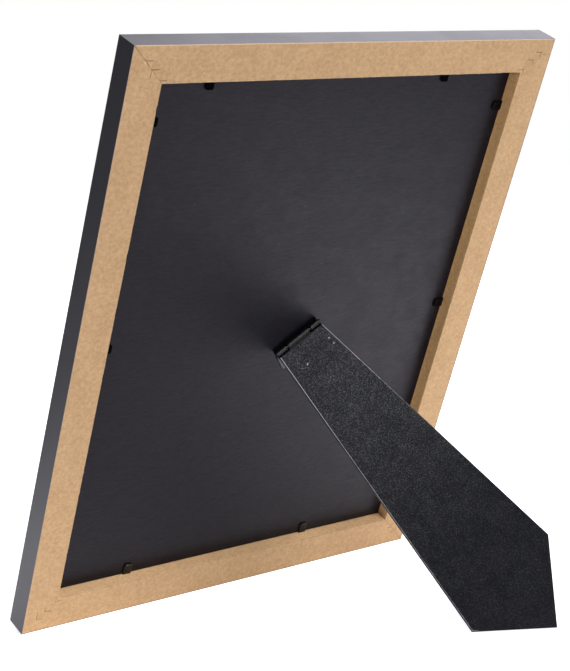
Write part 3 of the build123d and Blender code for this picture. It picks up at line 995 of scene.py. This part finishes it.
        # Old glue and painted shadow at the wall's ends, darkest in the corners that the top rail and the strut
        # shade
        glued_and_shadowed = self.by_corner(CORNER_GLUE_AND_SHADOW) * np.clip(self.depth / corner_down, 0.2, 1)
        glued_and_shadowed *= np.exp(-(self.from_mitre / corner_along) ** 2)
        self.darken(self.on_wall * glued_and_shadowed * (0.45 if lit_facing_up else 1.0))

    def make(self):
        """Make the piece, with the rebate's wall in the cut finish, and the bottom rail's wall in the
        finish that is painted paler as lit from above.
        """
        wall = self.on_wall & (self.section[:, 1] > 0) & (self.section[:, 1] < REBATE_DEPTH)
        surface = Surface()
        surface.tube(self.points(), wall.astype(int), self.wear_and_painted_highlight, self.dirt_and_painted_light)
        cut = "lit_facing_up" if self.side == "bottom" else "cut"
        surface.make(
            f"raw_{self.side}_rail",
            [finish(raw_fibreboard), finish(raw_fibreboard, cut)],
            "root",
            "raw_fibreboard",
            [f"{self.side}_rail"],
        )


def make_rail(side):
    """A rail, worked over in the order in which its marks came about."""
    rail = RawRail(side)
    rail.drive_nails()
    rail.open_mitres()
    rail.chip_edges()
    rail.cut_rebate()
    rail.make()


def foil_skin(inset):
    """The moulding's outline in its foil, drawn in by an inset: up, over and down to the rebate."""
    sizes = looks()[0]
    outer = sizes.arris - inset
    sight = sizes.sight_arris - inset
    inner = SIGHT - inset
    front = RAIL_DEPTH - inset
    flat = spread(outer + inset, inner - sight, step=4 * MM)[1:-1]
    return np.concatenate([
        np.stack([np.full(4, inset), np.linspace(0, front - outer, 5)[:-1]], -1),
        arc((inset + outer, front - outer), outer, 180, 90, 9),
        np.stack([flat, np.full(len(flat), front)], -1),
        arc((inner - sight, front - sight), sight, 90, 0, 9),
        [(inner, REBATE_DEPTH)],
    ])


def make_foil(side):
    """A strip of foil: the section's outer skin and its inner copy, between the mitres.

    The face swells by two hundredths of a millimetre, where glue and board show through,
    and the strip stops short of the mitres by as much.
    """
    setting, side_length = RAILS[side]
    outer = foil_skin(0.0)
    section = np.concatenate([outer, foil_skin(SKIN)[::-1]])
    kinds = np.zeros(len(section), int)
    kinds[[len(outer) - 1, -1]] = 1
    along, from_mitre = between_mitres(side_length, section[:, 0], FOIL_ENDS, 5 * MM)
    inward = np.broadcast_to(section[:, 0], along.shape).copy()
    depth = np.broadcast_to(section[:, 1], along.shape).copy()
    spots = setting.out(np.stack([inward, depth, along], -1))
    on_face = np.arange(len(section)) < len(outer)
    slight, ease, cut, rubbed = 0.02 * MM, 6 * MM, 0.1 * MM, 0.35 * MM
    swell = slight * wander(spots, size=31 * MM, seed=31) * np.clip(from_mitre / ease, 0, 1) * on_face
    inward += swell * (section[:, 0] < HAIR)
    depth += swell * (section[:, 1] > RAIL_DEPTH - HAIR)
    along = along - np.sign(along) * slight * (from_mitre < cut)
    wear_and_painted_highlight = 0.9 * np.exp(-from_mitre / rubbed) * on_face
    rings = setting.out(np.stack([inward, depth, along], -1))
    surface = Surface()
    surface.tube(rings, finish=kinds, wear_and_painted_highlight=wear_and_painted_highlight, dirt_and_painted_light=SOILED_FOIL[side])
    surface.make(
        f"wrapped_{side}_foil",
        [finish(charcoal_foil), finish(cut_edge)],
        "root",
        "charcoal_foil",
        [f"{side}_foil"],
        sharp=30.0,
    )


def make_edge_fibres():
    """Loose fibres on the raw inner edges: tapered slivers, three points long, that curl.

    Each starts on the edge at a random place, points out and inward at a random slant, and
    bends once on its way.
    """
    rng = np.random.default_rng(41)
    spacing = 0.9 * MM
    clear = 4 * MM
    steps = np.array([0.0, 0.5, 1.0])[None, :, None]
    half = np.array([0.030, 0.024, 0.006])[None, :, None] * MM
    surface = Surface()
    for side in SIDES:
        setting, side_length = RAILS[side]
        count = int(side_length / spacing)
        along = rng.uniform(-0.5, 0.5, count) * (side_length - 2 * RAIL_WIDTH - clear)
        base = np.stack([
            RAIL_WIDTH - rng.uniform(0.0, 0.35, count) * MM,
            rng.uniform(0.0, 0.3, count) * MM,
            along,
        ], -1)
        reach = rng.gamma(2.0, 0.13, count)[:, None, None] * MM
        slant = np.stack([
            rng.uniform(0.1, 1.0, count),
            rng.uniform(-0.7, 0.3, count),
            rng.uniform(-1.0, 1.0, count),
        ], -1)
        slant /= np.linalg.norm(slant, axis=1, keepdims=True)
        curl = rng.normal(0, 0.35, (count, 3))
        sideways = np.cross(slant, rng.normal(0, 1, (count, 3)))
        sideways /= np.linalg.norm(sideways, axis=1, keepdims=True)
        upward = np.cross(slant, sideways)
        spine = base[:, None] + reach * (slant[:, None] * steps + curl[:, None] * steps ** 2)
        ring = [spine + way[:, None] * half for way in (sideways, upward, -sideways, -upward)]
        for sliver in setting.out(np.stack(ring, 2)):
            surface.tube(sliver, wear_and_painted_highlight=1.0)
    surface.make("loose_edge_fibres", [finish(raw_fibreboard)], "root", "raw_fibreboard")


# Points
def rounded_bar(half_width, half_height, edge):
    """A closed loop round a bar's section, with rounded corners."""
    corners = []
    for x, y, start in ((1, 1, 0), (-1, 1, 90), (-1, -1, 180), (1, -1, 270)):
        centre = (x * (half_width - edge), y * (half_height - edge))
        corners.append(arc(centre, edge, start, start + 90, 3))
    return np.concatenate(corners)


def make_point(side, node):
    """A bendable point: one strip from its blade in the rail to its turned-up tip.

    Its rings follow the strip's middle, which is flat and then eases up to the tip, and
    narrow there along a quarter circle. Its steps are finer where it leaves the rail. Its
    lacquer is rubbed off at the tip, most on the bottom points, where the bare tip is also a
    painted highlight; the top and side points are drawn with less reflection, as painted shade.
    """
    setting = RAILS[side][0]
    low, high = setting.box(node)
    blade = setting.points("point_blades")
    middle = (low[2] + high[2]) / 2
    beside, past = 8 * MM, 0.1 * MM
    near = blade[(np.abs(blade[:, 2] - middle) < beside) & (blade[:, 0] < RAIL_WIDTH + past)]
    start = near[:, 0].min()
    sheet = near[:, 1].max() - near[:, 1].min()
    reach = high[0]
    half = (high[2] - low[2]) / 2
    turn = high[1] - low[1] - sheet
    run = 2.2 * MM
    tip = 1.6 * MM
    edge = 0.13 * MM
    bend_start = RAIL_WIDTH - 0.3 * MM
    bend_end = RAIL_WIDTH + 1.2 * MM
    flat = spread(start, bend_start, step=2 * MM)
    bend = spread(bend_start, bend_end, step=0.15 * MM)[1:]
    rest = spread(bend_end, reach - run, step=0.7 * MM)[1:]
    risen = reach - run * (1 - np.linspace(0, 1, 15)[1:-1] ** 0.75)
    last = reach - edge * (1 - np.sin(np.radians(np.linspace(0, 90, 5))))
    inward = np.concatenate([flat, bend, rest, risen[risen < last[0] - 2 * HAIR], last])
    rise = np.clip((inward - reach + run) / run, 0, 1)
    depth = high[1] - sheet / 2 - turn * rise * rise * (2 - rise)
    slope = np.gradient(depth, inward)
    beyond = np.clip((inward - reach + tip) / tip, 0, 0.98)
    width = half - tip * (1 - np.sqrt(1 - beyond ** 2))
    thin = np.clip((inward - reach + edge) / edge, 0, 1)
    height = sheet / 2 - edge * (1 - np.sqrt(1 - thin ** 2))
    rings = []
    for far, deep, rises, wide, tall in zip(inward, depth, slope, width, height):
        across, up = rounded_bar(wide, max(tall, 1.001 * edge), edge).T
        tilt = np.array([-rises, 1.0]) / math.hypot(rises, 1)
        rings.append(np.stack([far + up * tilt[0], deep + up * tilt[1], middle + across], -1))
    rings = np.array(rings)
    # The bare tip, rubbed and also a painted highlight; below, per side, how bare the tips are and how much
    # reflection is taken away as painted shade
    bare_and_glint = 0.7 * np.clip(thin * 2.2 - 0.6, 0, 1)[:, None] * np.ones(rings.shape[1])
    surface = Surface()
    rubbed, grime_and_shade = {"bottom": (1.0, 0.45), "left": (0.5, 0.8)}.get(side, (0.3, 1.0))
    surface.tube(setting.out(rings), wear_and_painted_highlight=rubbed * bare_and_glint, dirt_and_painted_light=grime_and_shade)
    bend_from = setting.out((bend_start, depth[0], middle))
    bend_to = setting.out((bend_end, depth[0], middle))
    surface.make(
        f"steel_{node}",
        [finish(lacquered_steel)],
        ("root", node, bend_from, bend_to),
        "black_point_steel",
        [node, "point_blades"],
    )


# Hinge
SHEET = 0.8 * MM
KNUCKLE_GAP = 0.3 * MM


def make_leaf(name, setting, node, start, zones):
    """A hinge leaf as one bent sheet: a plate with rounded corners, and tabs from its edge.

    Each zone is a span across and a path in the plane across the pin. The middle surface is
    mapped from straight rows and columns, then thickened and rounded at the edges.
    """
    half, end = setting.box(node)[1][:2]
    level = zones[0][1][0][1]
    corner = 3.0 * MM
    marks = sorted({-half, half, *[edge for span, _ in zones for edge in span]})
    columns = spread(*marks, step=1.3 * MM)
    rounded = half - corner * (1 - np.cos(np.radians(np.linspace(0, 90, 8))))
    columns = np.unique(np.round(np.concatenate([columns, rounded, -rounded]), 6))
    beyond = np.clip((np.abs(columns) - half + corner) / corner, 0, 1)
    reach = end - corner * (1 - np.sqrt(1 - beyond ** 2))
    rows = np.linspace(0, 1, 15)[:, None]
    down = start + rows * (reach - start)
    surface = Surface()
    across = np.broadcast_to(columns, down.shape)
    # Painted shade: the plate's reflection is taken away near the fold, where shade falls beside the barrel
    shaded_crook = np.clip(1.5 - rows / 0.35, 0, 1)
    surface.grid(setting.out(np.stack([across, down, np.full(down.shape, level)], -1)), dirt_and_painted_light=shaded_crook)
    for (left, right), path in zones:
        inside = columns[(columns > left - HAIR) & (columns < right + HAIR)]
        path = np.asarray(path)
        grid = np.empty((len(path), len(inside), 3))
        grid[..., 0] = inside
        grid[..., 1:] = path[:, None]
        # Painted shade: no reflection where the sheet lies below the pin's axis, towards its plate, on the
        # barrel's lower half and shoulders
        surface.grid(setting.out(grid), dirt_and_painted_light=np.clip(-path[:, 1:] / MM, 0, 1))
    body = "root" if setting is ON_BOARD else "strut"
    piece = surface.make(name, [finish(lacquered_steel)], body, "black_hinge_steel", [node])
    thick = piece.modifiers.new("sheet", "SOLIDIFY")
    thick.thickness = SHEET
    thick.offset = 0
    thick.use_even_offset = True
    soften(piece, looks()[0].steel_edge)


def make_leaves():
    """Both leaves: the board's with one middle knuckle, the strut's with two and its lugs."""
    low, high = ON_BOARD.box("hinge_board_leaf")
    radius = high[2]
    middle = radius - SHEET / 2
    plate = low[2] + SHEET / 2
    half = high[0]
    bend = 0.9 * MM
    knuckle = 8.7 * MM
    start = 2 * MM
    shoulder = [(start, plate), (0, plate), (low[1], plate)]
    raised = np.concatenate([
        [(start, plate)],
        arc((bend - middle, plate + bend), bend, 270, 180, 7),
        spread(plate + bend, 0, step=1 * MM)[1:-1, None] * (0, 1) + (-middle, 0),
        arc((0, 0), middle, 180, -112, 30),
    ])
    gap = 0.2 * MM
    zones = [
        ((-half, -knuckle - gap), shoulder),
        ((-knuckle, knuckle), raised),
        ((knuckle + gap, half), shoulder),
    ]
    make_leaf("rolled_board_leaf", ON_BOARD, "hinge_board_leaf", start, zones)

    low = ON_STRUT.box("hinge_strut_leaf")[0]
    lug_width = 1.3 * MM
    straight_to = 1 * MM
    notch = radius + KNUCKLE_GAP
    inner = knuckle + KNUCKLE_GAP
    lug = inner + lug_width
    outer = lug + KNUCKLE_GAP
    rolled = np.concatenate([[(notch, -middle), (straight_to, -middle)], arc((0, 0), middle, 270, -22, 30)])
    straight = [(notch, -middle), (0, -middle), (low[1], -middle)]
    zones = [
        ((-half, -outer), rolled),
        ((-lug, -inner), straight),
        ((inner, lug), straight),
        ((outer, half), rolled),
    ]
    make_leaf("rolled_strut_leaf", ON_STRUT, "hinge_strut_leaf", notch, zones)


def revolve(surface, setting, centre, profile, axis=2):
    """Turn a closed profile of radii and heights about an axis of the setting."""
    count = 40
    turn = np.linspace(0, 2 * math.pi, count + 1)[:-1]
    radius = np.asarray(profile)[:, 0, None]
    height = np.broadcast_to(np.asarray(profile)[:, 1, None], (len(profile), count))
    rounds = np.stack([radius * np.cos(turn), radius * np.sin(turn), height], -1)
    if axis == 0:
        rounds = rounds[..., [2, 0, 1]]
    surface.grid(setting.out(rounds + centre), around=True)


def make_pin():
    """The pin: a shaft with peened ends, turned about its own axis."""
    high = ON_BOARD.box("hinge_pin")[1]
    end, head = high[0], high[2]
    shaft, thick, edge, under = 1.0 * MM, 0.5 * MM, 0.22 * MM, 0.05 * MM
    inner = end - thick
    side = np.concatenate([
        [(shaft, 0), (shaft, inner), (head - under, inner)],
        arc((head - edge, end - edge), edge, 0, 90, 6),
        [(0.5 * head, end), (0, end)],
    ])
    profile = np.concatenate([side[::-1] * (1, -1), side[1:]])
    surface = Surface()
    revolve(surface, ON_BOARD, np.zeros(3), profile, axis=0)
    surface.make("turned_pin", [finish(lacquered_steel)], "root", "black_hinge_steel", ["hinge_pin"])


def make_rivets():
    """The board leaf's rivets: low domes on a rim, with shanks through the board."""
    low, high = ON_BOARD.box("board_rivets")
    plate = ON_BOARD.box("hinge_board_leaf")[0][2]
    top = high[2]
    head = (high[1] - low[1]) / 2
    middle = (high[0] + low[0]) / 2
    spacing = (high[0] - low[0]) / 2 - head
    seat = plate + SHEET
    rim = seat + 0.1 * MM
    bottom = low[2]
    shank, tail, tail_depth = 1.5 * MM, 2.4 * MM, 0.9 * MM
    angle = np.radians(np.linspace(0, 76, 9))
    swell = (np.cos(angle) - math.cos(angle[-1])) / (1 - math.cos(angle[-1]))
    profile = np.concatenate([
        np.stack([head * np.sin(angle) / math.sin(angle[-1]), rim + (top - rim) * swell], -1),
        [(head, seat), (shank, seat), (shank, bottom + tail_depth), (tail, bottom), (0, bottom)],
    ])
    surface = Surface()
    for end in (-1, 1):
        centre = (middle + end * spacing, (high[1] + low[1]) / 2, 0)
        revolve(surface, ON_BOARD, centre, profile)
    surface.make("domed_rivets", [finish(lacquered_steel)], "root", "black_hinge_steel", ["board_rivets"])


# A clinch's bore, the ways that its prongs point, and a prong's rings from its root: how far
# out each lies, how far it drops and how wide its half is, in millimetres
CLINCH_BORE = 1.6 * MM
PRONG_WAYS = [np.array([math.cos(turn), math.sin(turn)]) for turn in np.radians((45, 135, 225, 315))]
PRONG = ((1.7, 0.0, 0.75), (3.2, 0.0, 0.75), (3.9, 0.03, 0.6), (4.2, 0.1, 0.35))
# How far each prong pushes up the cover, as a share, and how pale its tip is drawn, a rubbed
# spot that is also a painted glint
PRONG_LIFTS = ((0.22, 0.74, 0.72, 0.26), (0.60, 0.82, 0.2, 0.54))


def clinch_places():
    """The middles of the strut's two clinches, across and down, and the prongs' reach."""
    low, high = ON_STRUT.box("strut_clinches")
    reach = (high[1] - low[1]) / 2
    down = (high[1] + low[1]) / 2
    return [(low[0] + reach, down), (high[0] - reach, down)], reach


def make_clinches():
    """The clinches: flanged tubes through the strut, each split into four spread prongs."""
    low, high = ON_STRUT.box("strut_clinches")
    bottom, top = low[2], high[2]
    bore, wall, flange = CLINCH_BORE, 2.0 * MM, 3.1 * MM
    lead, edge = 0.25 * MM, 0.2 * MM
    seat = bottom + 0.4 * MM
    prong_half, prong_edge, prong_top = 0.22 * MM, 0.08 * MM, top - 0.25 * MM
    profile = np.concatenate([
        [(bore, top), (bore, bottom + lead), (bore + 0.08 * MM, bottom + 0.06 * MM), (bore + lead, bottom)],
        arc((flange - edge, bottom + edge), edge, -90, 0, 5),
        [(flange, seat), (wall, seat), (wall, top), (bore, top)],
    ])
    surface = Surface()
    for x, y in clinch_places()[0]:
        revolve(surface, ON_STRUT, (x, y, 0), profile)
        for cos, sin in PRONG_WAYS:
            turned = np.array([(-sin, cos, 0), (0, 0, 1)])
            rings = []
            for far, drop, half in PRONG:
                spine = np.array([x + far * MM * cos, y + far * MM * sin, prong_top - drop * MM])
                rings.append(spine + rounded_bar(half * MM, prong_half, prong_edge) @ turned)
            surface.tube(ON_STRUT.out(np.array(rings)))
    surface.make("flanged_clinches", [finish(drawn_steel)], "strut", "clinch_steel", ["strut_clinches"])


# Strut
def strut_corners():
    """The strut's five corners, across and down, in order from the hinge's negative end."""
    spots = ON_STRUT.points("strut_cover")
    outer = spots[spots[:, 2] > spots[:, 2].max() - 2 * HAIR][:, :2]
    ways = ((-1, -8), (1, -8), (1, 0.25), (0.1, 1), (-1, 0.15))
    return np.array([outer[np.argmax(outer @ way)] for way in ways])


def inset(corners, by):
    """A polygon's corners, with every side moved inward."""
    after = np.roll(corners, -1, axis=0) - corners
    after /= np.linalg.norm(after, axis=1, keepdims=True)
    inward = np.stack([-after[:, 1], after[:, 0]], -1)
    inward *= np.sign(((corners.mean(axis=0) - corners) * inward).sum(axis=1))[:, None]
    other = np.roll(inward, 1, axis=0)
    return corners + by * (inward + other) / (1 + (inward * other).sum(axis=1))[:, None]


class Outline:
    """The strut's outline as two sides from the hinge end to the tip, with shared steps."""

    def __init__(self, corners):
        self.corners = corners
        fine = 24 * MM
        long_edge = np.linalg.norm(corners[4] - corners[0])
        near = spread(0, fine, step=0.42 * MM)
        far = spread(fine, long_edge, step=3.2 * MM)[1:]
        self.long = np.concatenate([near, far]) / long_edge
        self.short = np.linspace(0, 1, 22)[1:]
        self.across = np.linspace(0, 1, 91)

    def sides(self, by):
        """Both sides' points, each inset by a distance: down a long edge, then to the tip."""
        a, b, c, tip, e = inset(self.corners, by)
        left = np.concatenate([a + self.long[:, None] * (e - a), e + self.short[:, None] * (tip - e)])
        right = np.concatenate([b + self.long[:, None] * (c - b), c + self.short[:, None] * (tip - c)])
        return left, right

    def ring(self, by):
        """The whole outline as a closed ring: across the hinge end, down and back up."""
        left, right = self.sides(by)
        end = left[0] + self.across[:, None] * (right[0] - left[0])
        return np.concatenate([end, right[1:], left[-2:0:-1]])

    def face(self, by):
        """The ground inside an inset outline, ruled from side to side."""
        left, right = self.sides(by)
        return left[:, None] + self.across[None, :, None] * (right - left)[:, None]


def swelling(spots):
    """How far the clinches' prongs push up the cover, and how far that rubbed it through, which
    is also drawn as a painted glint on each tip.

    Each prong gives a long soft ridge with a small knob over its tip, all bell curves, and
    the cover rises a little round each clinch.
    """
    height = np.zeros(spots.shape[:-1])
    rubbed = np.zeros(spots.shape[:-1])
    places, reach = clinch_places()
    soft, sharp, dish, short, tip = 1.0 * MM, 0.6 * MM, 5 * MM, 0.8 * MM, 0.3 * MM
    for place_at, lifts in zip(places, PRONG_LIFTS):
        offset = spots[..., :2] - place_at
        for way, lift in zip(PRONG_WAYS, lifts):
            far = offset @ way
            aside = offset @ np.array([-way[1], way[0]])
            over = np.clip(far, CLINCH_BORE, reach - short)
            ridge = np.exp(-((far - over) / soft) ** 2 - (aside / soft) ** 2)
            knob = np.exp(-((far - reach + tip) / sharp) ** 2 - (aside / soft) ** 2)
            height = np.maximum(height, lift * np.maximum(0.55 * ridge, knob))
            # The pale spot over each tip, rubbed through and also a painted glint
            rubbed = np.maximum(rubbed, lift * knob)
        height = height + 0.25 * np.exp(-(offset ** 2).sum(axis=-1) / dish ** 2) * (1 - height)
    return height * looks()[0].clinch_bump, rubbed


def make_cover():
    """The strut's cover: rings up the turned edge and round the arris, and a ruled face.

    The face rises over the clinches' prongs, which rub through at their tips, pale spots that are
    also painted glints. The arris is worn pale along the long sides, and that pale line is also a
    painted highlight, brightest beside the hinge. The value of dirt and painted light says how far
    the cover was handled, and paints its sheen near the hinge. An inner copy at the paper's
    thickness closes it.
    """
    low, high = ON_STRUT.box("strut_cover")
    bottom, top = low[2], high[2]
    outline = Outline(strut_corners())
    thickness, turned_up = 0.25 * MM, 0.6 * MM
    flat_end, round_foot = 3 * MM, 2 * MM
    near_fade, far_fade = 70 * MM, 115 * MM
    # Each ring's wear, from the turned edge's foot over the arris to the face
    arris_wear = np.array([0.25, 0, 0, 0, 0, 0.05, 0.5, 1, 0.8, 0.2, 0, 0])
    handled_and_sheen_to = 0.55 * outline.corners[3, 1]
    surface = Surface()
    borders = []
    for skin in (0.0, thickness):
        radius = looks()[0].strut_arris - skin
        level = top - skin
        turned = arc((skin + radius, level - radius), radius, 180, 90, 7)
        steps = [(skin, bottom), (skin, bottom + turned_up), *turned]
        steps += [(skin + radius + step * MM, level) for step in (0.25, 0.55, 0.95)]
        rings = []
        for by, z in steps:
            ring = outline.ring(by)
            rings.append(np.concatenate([ring, np.full((len(ring), 1), z)], -1))
        rings = np.array(rings)
        ground = outline.face(steps[-1][0])
        face = np.concatenate([ground, np.full((*ground.shape[:-1], 1), level)], -1)
        for part in (rings, face):
            inner = np.clip((part[..., 1] - outline.corners[0, 1]) / flat_end, 0, 1)
            part[..., 2] += (part[..., 2] > level - HAIR) * inner * swelling(part)[0]
        along = np.clip(rings[..., 1] - outline.corners[0, 1], 0, None)
        on_side = rings[..., 1] < outline.corners[[2, 4], 1].max() + round_foot
        number = np.arange(rings.shape[1])
        on_side &= (number == 0) | (number >= len(outline.across) - 1)
        # The arris's pale worn line is also a painted highlight, brightest beside the hinge and fading towards the
        # foot, more slowly on one side
        wear_and_highlight_fade = np.where(
            rings[..., 0] > 0,
            0.48 + 0.52 * np.exp(-along / near_fade),
            0.72 * np.exp(-(along / far_fade) ** 2),
        )
        wear_and_painted_highlight = arris_wear[:, None] * wear_and_highlight_fade * np.where(on_side, 1.0, 0.05)
        # Handled near the hinge: polished grain and a painted sheen that fades towards the foot
        handled_and_sheen = np.exp(-(rings[..., 1] / handled_and_sheen_to) ** 2)
        surface.grid(ON_STRUT.out(rings), around=True, wear_and_painted_highlight=wear_and_painted_highlight, dirt_and_painted_light=handled_and_sheen)
        handled_and_sheen = np.exp(-(face[..., 1] / handled_and_sheen_to) ** 2)
        surface.grid(ON_STRUT.out(face), wear_and_painted_highlight=swelling(face)[1], dirt_and_painted_light=handled_and_sheen)
        borders.append(rings[0])
    surface.grid(ON_STRUT.out(np.stack(borders)), around=True)
    surface.make(
        "turned_strut_cover",
        [finish(leatherette)],
        "strut",
        "black_leatherette",
        ["strut_cover"],
        sharp=50.0,
    )


# Glass
def make_pane():
    """The glass: rings round its node's box at four depths, drawn in by the seam at both faces.

    Its back stands 0.03 mm off the sheet, so that no two faces lie in one plane.
    """
    low, high = UPRIGHT.box("glazing")
    seam, clear = 0.35 * MM, 0.03 * MM
    front, back = low[1], high[1] - clear
    rings = []
    for depth, by in ((front, seam), (front + seam, 0), (back - seam, 0), (back, seam)):
        left, right = low[0] + by, high[0] - by
        under, over = low[2] + by, high[2] - by
        corners = ((left, under), (right, under), (right, over), (left, over))
        rings.append([(x, depth, z) for x, z in corners])
    surface = Surface()
    surface.tube(UPRIGHT.out(np.array(rings)))
    surface.make("seamed_pane", [finish(clear_glass)], "root", "clear_glass", ["glazing"], sharp=20.0)


# Stage
def add_light(name, place_at, aim, size, power, tint=(1, 1, 1)):
    """A soft rectangular light at a place, aimed at a point."""
    data = bpy.data.lights.new(name, "AREA")
    data.shape = "RECTANGLE"
    data.size, data.size_y = size
    data.energy = power
    data.color = tint
    lamp = bpy.data.objects.new(name, data)
    lamp.location = place_at
    lamp.rotation_euler = (Vector(aim) - Vector(place_at)).to_track_quat("-Z", "Y").to_euler()
    bpy.context.scene.collection.objects.link(lamp)


# Where the table is lit: x, y, the radii from full to none, and the strength. The camera
# sees the floor pale instead, and paler away from the last patch.
LIT_PATCHES = (
    (-0.30, 0.10, 0.03, 0.42, 1.0),
    (0.45, -0.15, 0.05, 0.60, 0.9),
    (-0.15, 0.15, 0.30, 1.20, 0.06),
)


class EASELFRAME_OT_stage(bpy.types.Operator):
    """Set up the floor, the lights, the white surround and the camera"""

    bl_idname = "easelframe.stage"
    bl_label = "Stage"

    def execute(self, context):
        stage = looks()[2]
        scene = context.scene
        scene.view_settings.view_transform = "Standard"

        reach, drop = 4, 0.02 * MM
        side = np.linspace(-reach, reach, 9)
        x, y = np.meshgrid(side, side, indexing="ij")
        ground = Surface()
        ground.grid(np.stack([x, y, np.full(x.shape, -drop)], -1))
        mesh = bpy.data.meshes.new("floor")
        mesh.from_pydata(np.concatenate(ground.points).tolist(), [], ground.faces)
        floor = bpy.data.objects.new("floor", mesh)
        scene.collection.objects.link(floor)
        look, tree, shader, vector = start_finish("pale_floor")
        seen = place(tree, "ShaderNodeLightPath").outputs["Is Camera Ray"]
        glow = 0.05
        for x, y, near, far, strength in LIT_PATCHES:
            away = place(tree, "ShaderNodeVectorMath", {0: vector, 1: (x, y, 0)}, operation="DISTANCE")
            away = away.outputs["Value"]
            glow = plus(tree, glow, ramp(tree, away, near, far, strength * stage.floor_glow, 0.0))
        seen_glow = ramp(tree, away, 0.5, 1.4, 0.78, 1.0)
        lift = place(tree, "ShaderNodeMix", {0: seen, 2: glow, 3: seen_glow}).outputs[0]
        wire_up(tree, shader, Base_Color=stage.floor_colour, Roughness=0.9, Specular_IOR_Level=0.1)
        wire_up(tree, shader, Emission_Color=(1, 1, 1), Emission_Strength=lift)
        mesh.materials.append(look)

        world = bpy.data.worlds.new("white_surround")
        scene.world = world
        world.use_nodes = True
        tree = world.node_tree
        tree.nodes.clear()
        ray = place(tree, "ShaderNodeLightPath").outputs
        seen = math_node(tree, "MAXIMUM", ray["Is Camera Ray"], ray["Is Transmission Ray"])
        strength = plus(tree, times(tree, seen, 1.0 - stage.sky), stage.sky)
        light = place(tree, "ShaderNodeBackground", {"Color": (1, 1, 1, 1), "Strength": strength})
        out = place(tree, "ShaderNodeOutputWorld")
        tree.links.new(light.outputs[0], out.inputs[0])

        aim = (0, 0, 0.18)
        add_light("key", (0.80, 1.78, 0.58), aim, (0.35, 0.35), stage.key_power)
        add_light("top", (-0.3, 1.0, 1.5), (-0.1, 0.1, 0), (1.0, 1.0), stage.top_power)
        add_light("back", (0.72, 1.31, 1.41), aim, (0.5, 0.5), stage.back_power)
        add_light("fill", (-1.4, 1.3, 0.75), aim, (1.2, 1.0), stage.fill_power, (0.94, 0.98, 1.2))
        add_light("rim", (-1.75, -1.0, 1.75), aim, (1.6, 1.6), stage.rim_power, (0.96, 0.94, 1.0))

        data = bpy.data.cameras.new("camera")
        data.sensor_width = 36
        data.lens = stage.camera_lens
        camera = bpy.data.objects.new("camera", data)
        camera.location = stage.camera_place
        camera.rotation_euler = Euler(stage.camera_turn)
        scene.collection.objects.link(camera)
        scene.camera = camera
        return {"FINISHED"}


class EASELFRAME_OT_moulding(bpy.types.Operator):
    """Make the raw rails, the foil round them, the V-nails and the loose fibres"""

    bl_idname = "easelframe.moulding"
    bl_label = "Moulding"

    def execute(self, context):
        for side in SIDES:
            make_rail(side)
            make_foil(side)
        for corner in CORNERS:
            dress(f"{corner}_v_nails", finish(drawn_steel))
        make_edge_fibres()
        return {"FINISHED"}


class EASELFRAME_OT_backing(bpy.types.Operator):
    """Finish the glass, the bare sheet and the papered backing board"""

    bl_idname = "easelframe.backing"
    bl_label = "Glass and backing"

    def execute(self, context):
        make_pane()
        dress("picture_sheet", finish(bare_sheet))
        dress("backing_board", finish(pressed_greyboard))
        dress("backing_paper", finish(backing_paper))
        return {"FINISHED"}


class EASELFRAME_OT_points(bpy.types.Operator):
    """Make the eight bendable points, each one strip from rail to tip"""

    bl_idname = "easelframe.points"
    bl_label = "Bendable points"

    def execute(self, context):
        for side in SIDES:
            for number in (1, 2):
                make_point(side, f"{side}_point_{number}")
        return {"FINISHED"}


class EASELFRAME_OT_hinge(bpy.types.Operator):
    """Make the hinge's two rolled leaves, its pin, rivets and clinches"""

    bl_idname = "easelframe.hinge"
    bl_label = "Hinge"

    def execute(self, context):
        make_leaves()
        make_pin()
        make_rivets()
        make_clinches()
        return {"FINISHED"}


class EASELFRAME_OT_strut(bpy.types.Operator):
    """Make the strut's turned cover and finish its board and lining"""

    bl_idname = "easelframe.strut"
    bl_label = "Strut"

    def execute(self, context):
        make_cover()
        dress("strut_board", finish(pressed_greyboard))
        dress("strut_lining", finish(lining_paper))
        return {"FINISHED"}


OPERATORS = (
    EASELFRAME_OT_stage,
    EASELFRAME_OT_moulding,
    EASELFRAME_OT_backing,
    EASELFRAME_OT_points,
    EASELFRAME_OT_hinge,
    EASELFRAME_OT_strut,
)


class EASELFRAME_PT_panel(bpy.types.Panel):
    """The frame's steps, in the sidebar"""

    bl_idname = "EASELFRAME_PT_panel"
    bl_label = "Photo Frame"
    bl_space_type = "VIEW_3D"
    bl_region_type = "UI"
    bl_category = "Photo Frame"

    def draw(self, context):
        for step in OPERATORS:
            self.layout.operator(step.bl_idname)


CLASSES = (EaselFrameSizes, EaselFrameColours, EaselFrameStage, *OPERATORS, EASELFRAME_PT_panel)


def register():
    for kind in CLASSES:
        bpy.utils.register_class(kind)
    bpy.types.Scene.easel_frame_sizes = PointerProperty(type=EaselFrameSizes)
    bpy.types.Scene.easel_frame_colours = PointerProperty(type=EaselFrameColours)
    bpy.types.Scene.easel_frame_stage = PointerProperty(type=EaselFrameStage)


def unregister():
    del bpy.types.Scene.easel_frame_stage
    del bpy.types.Scene.easel_frame_colours
    del bpy.types.Scene.easel_frame_sizes
    for kind in reversed(CLASSES):
        bpy.utils.unregister_class(kind)


def main():
    """Build everything."""
    register()
    for step in OPERATORS:
        family, name = step.bl_idname.split(".")
        getattr(getattr(bpy.ops, family), name)()


if __name__ == "__main__":
    main()
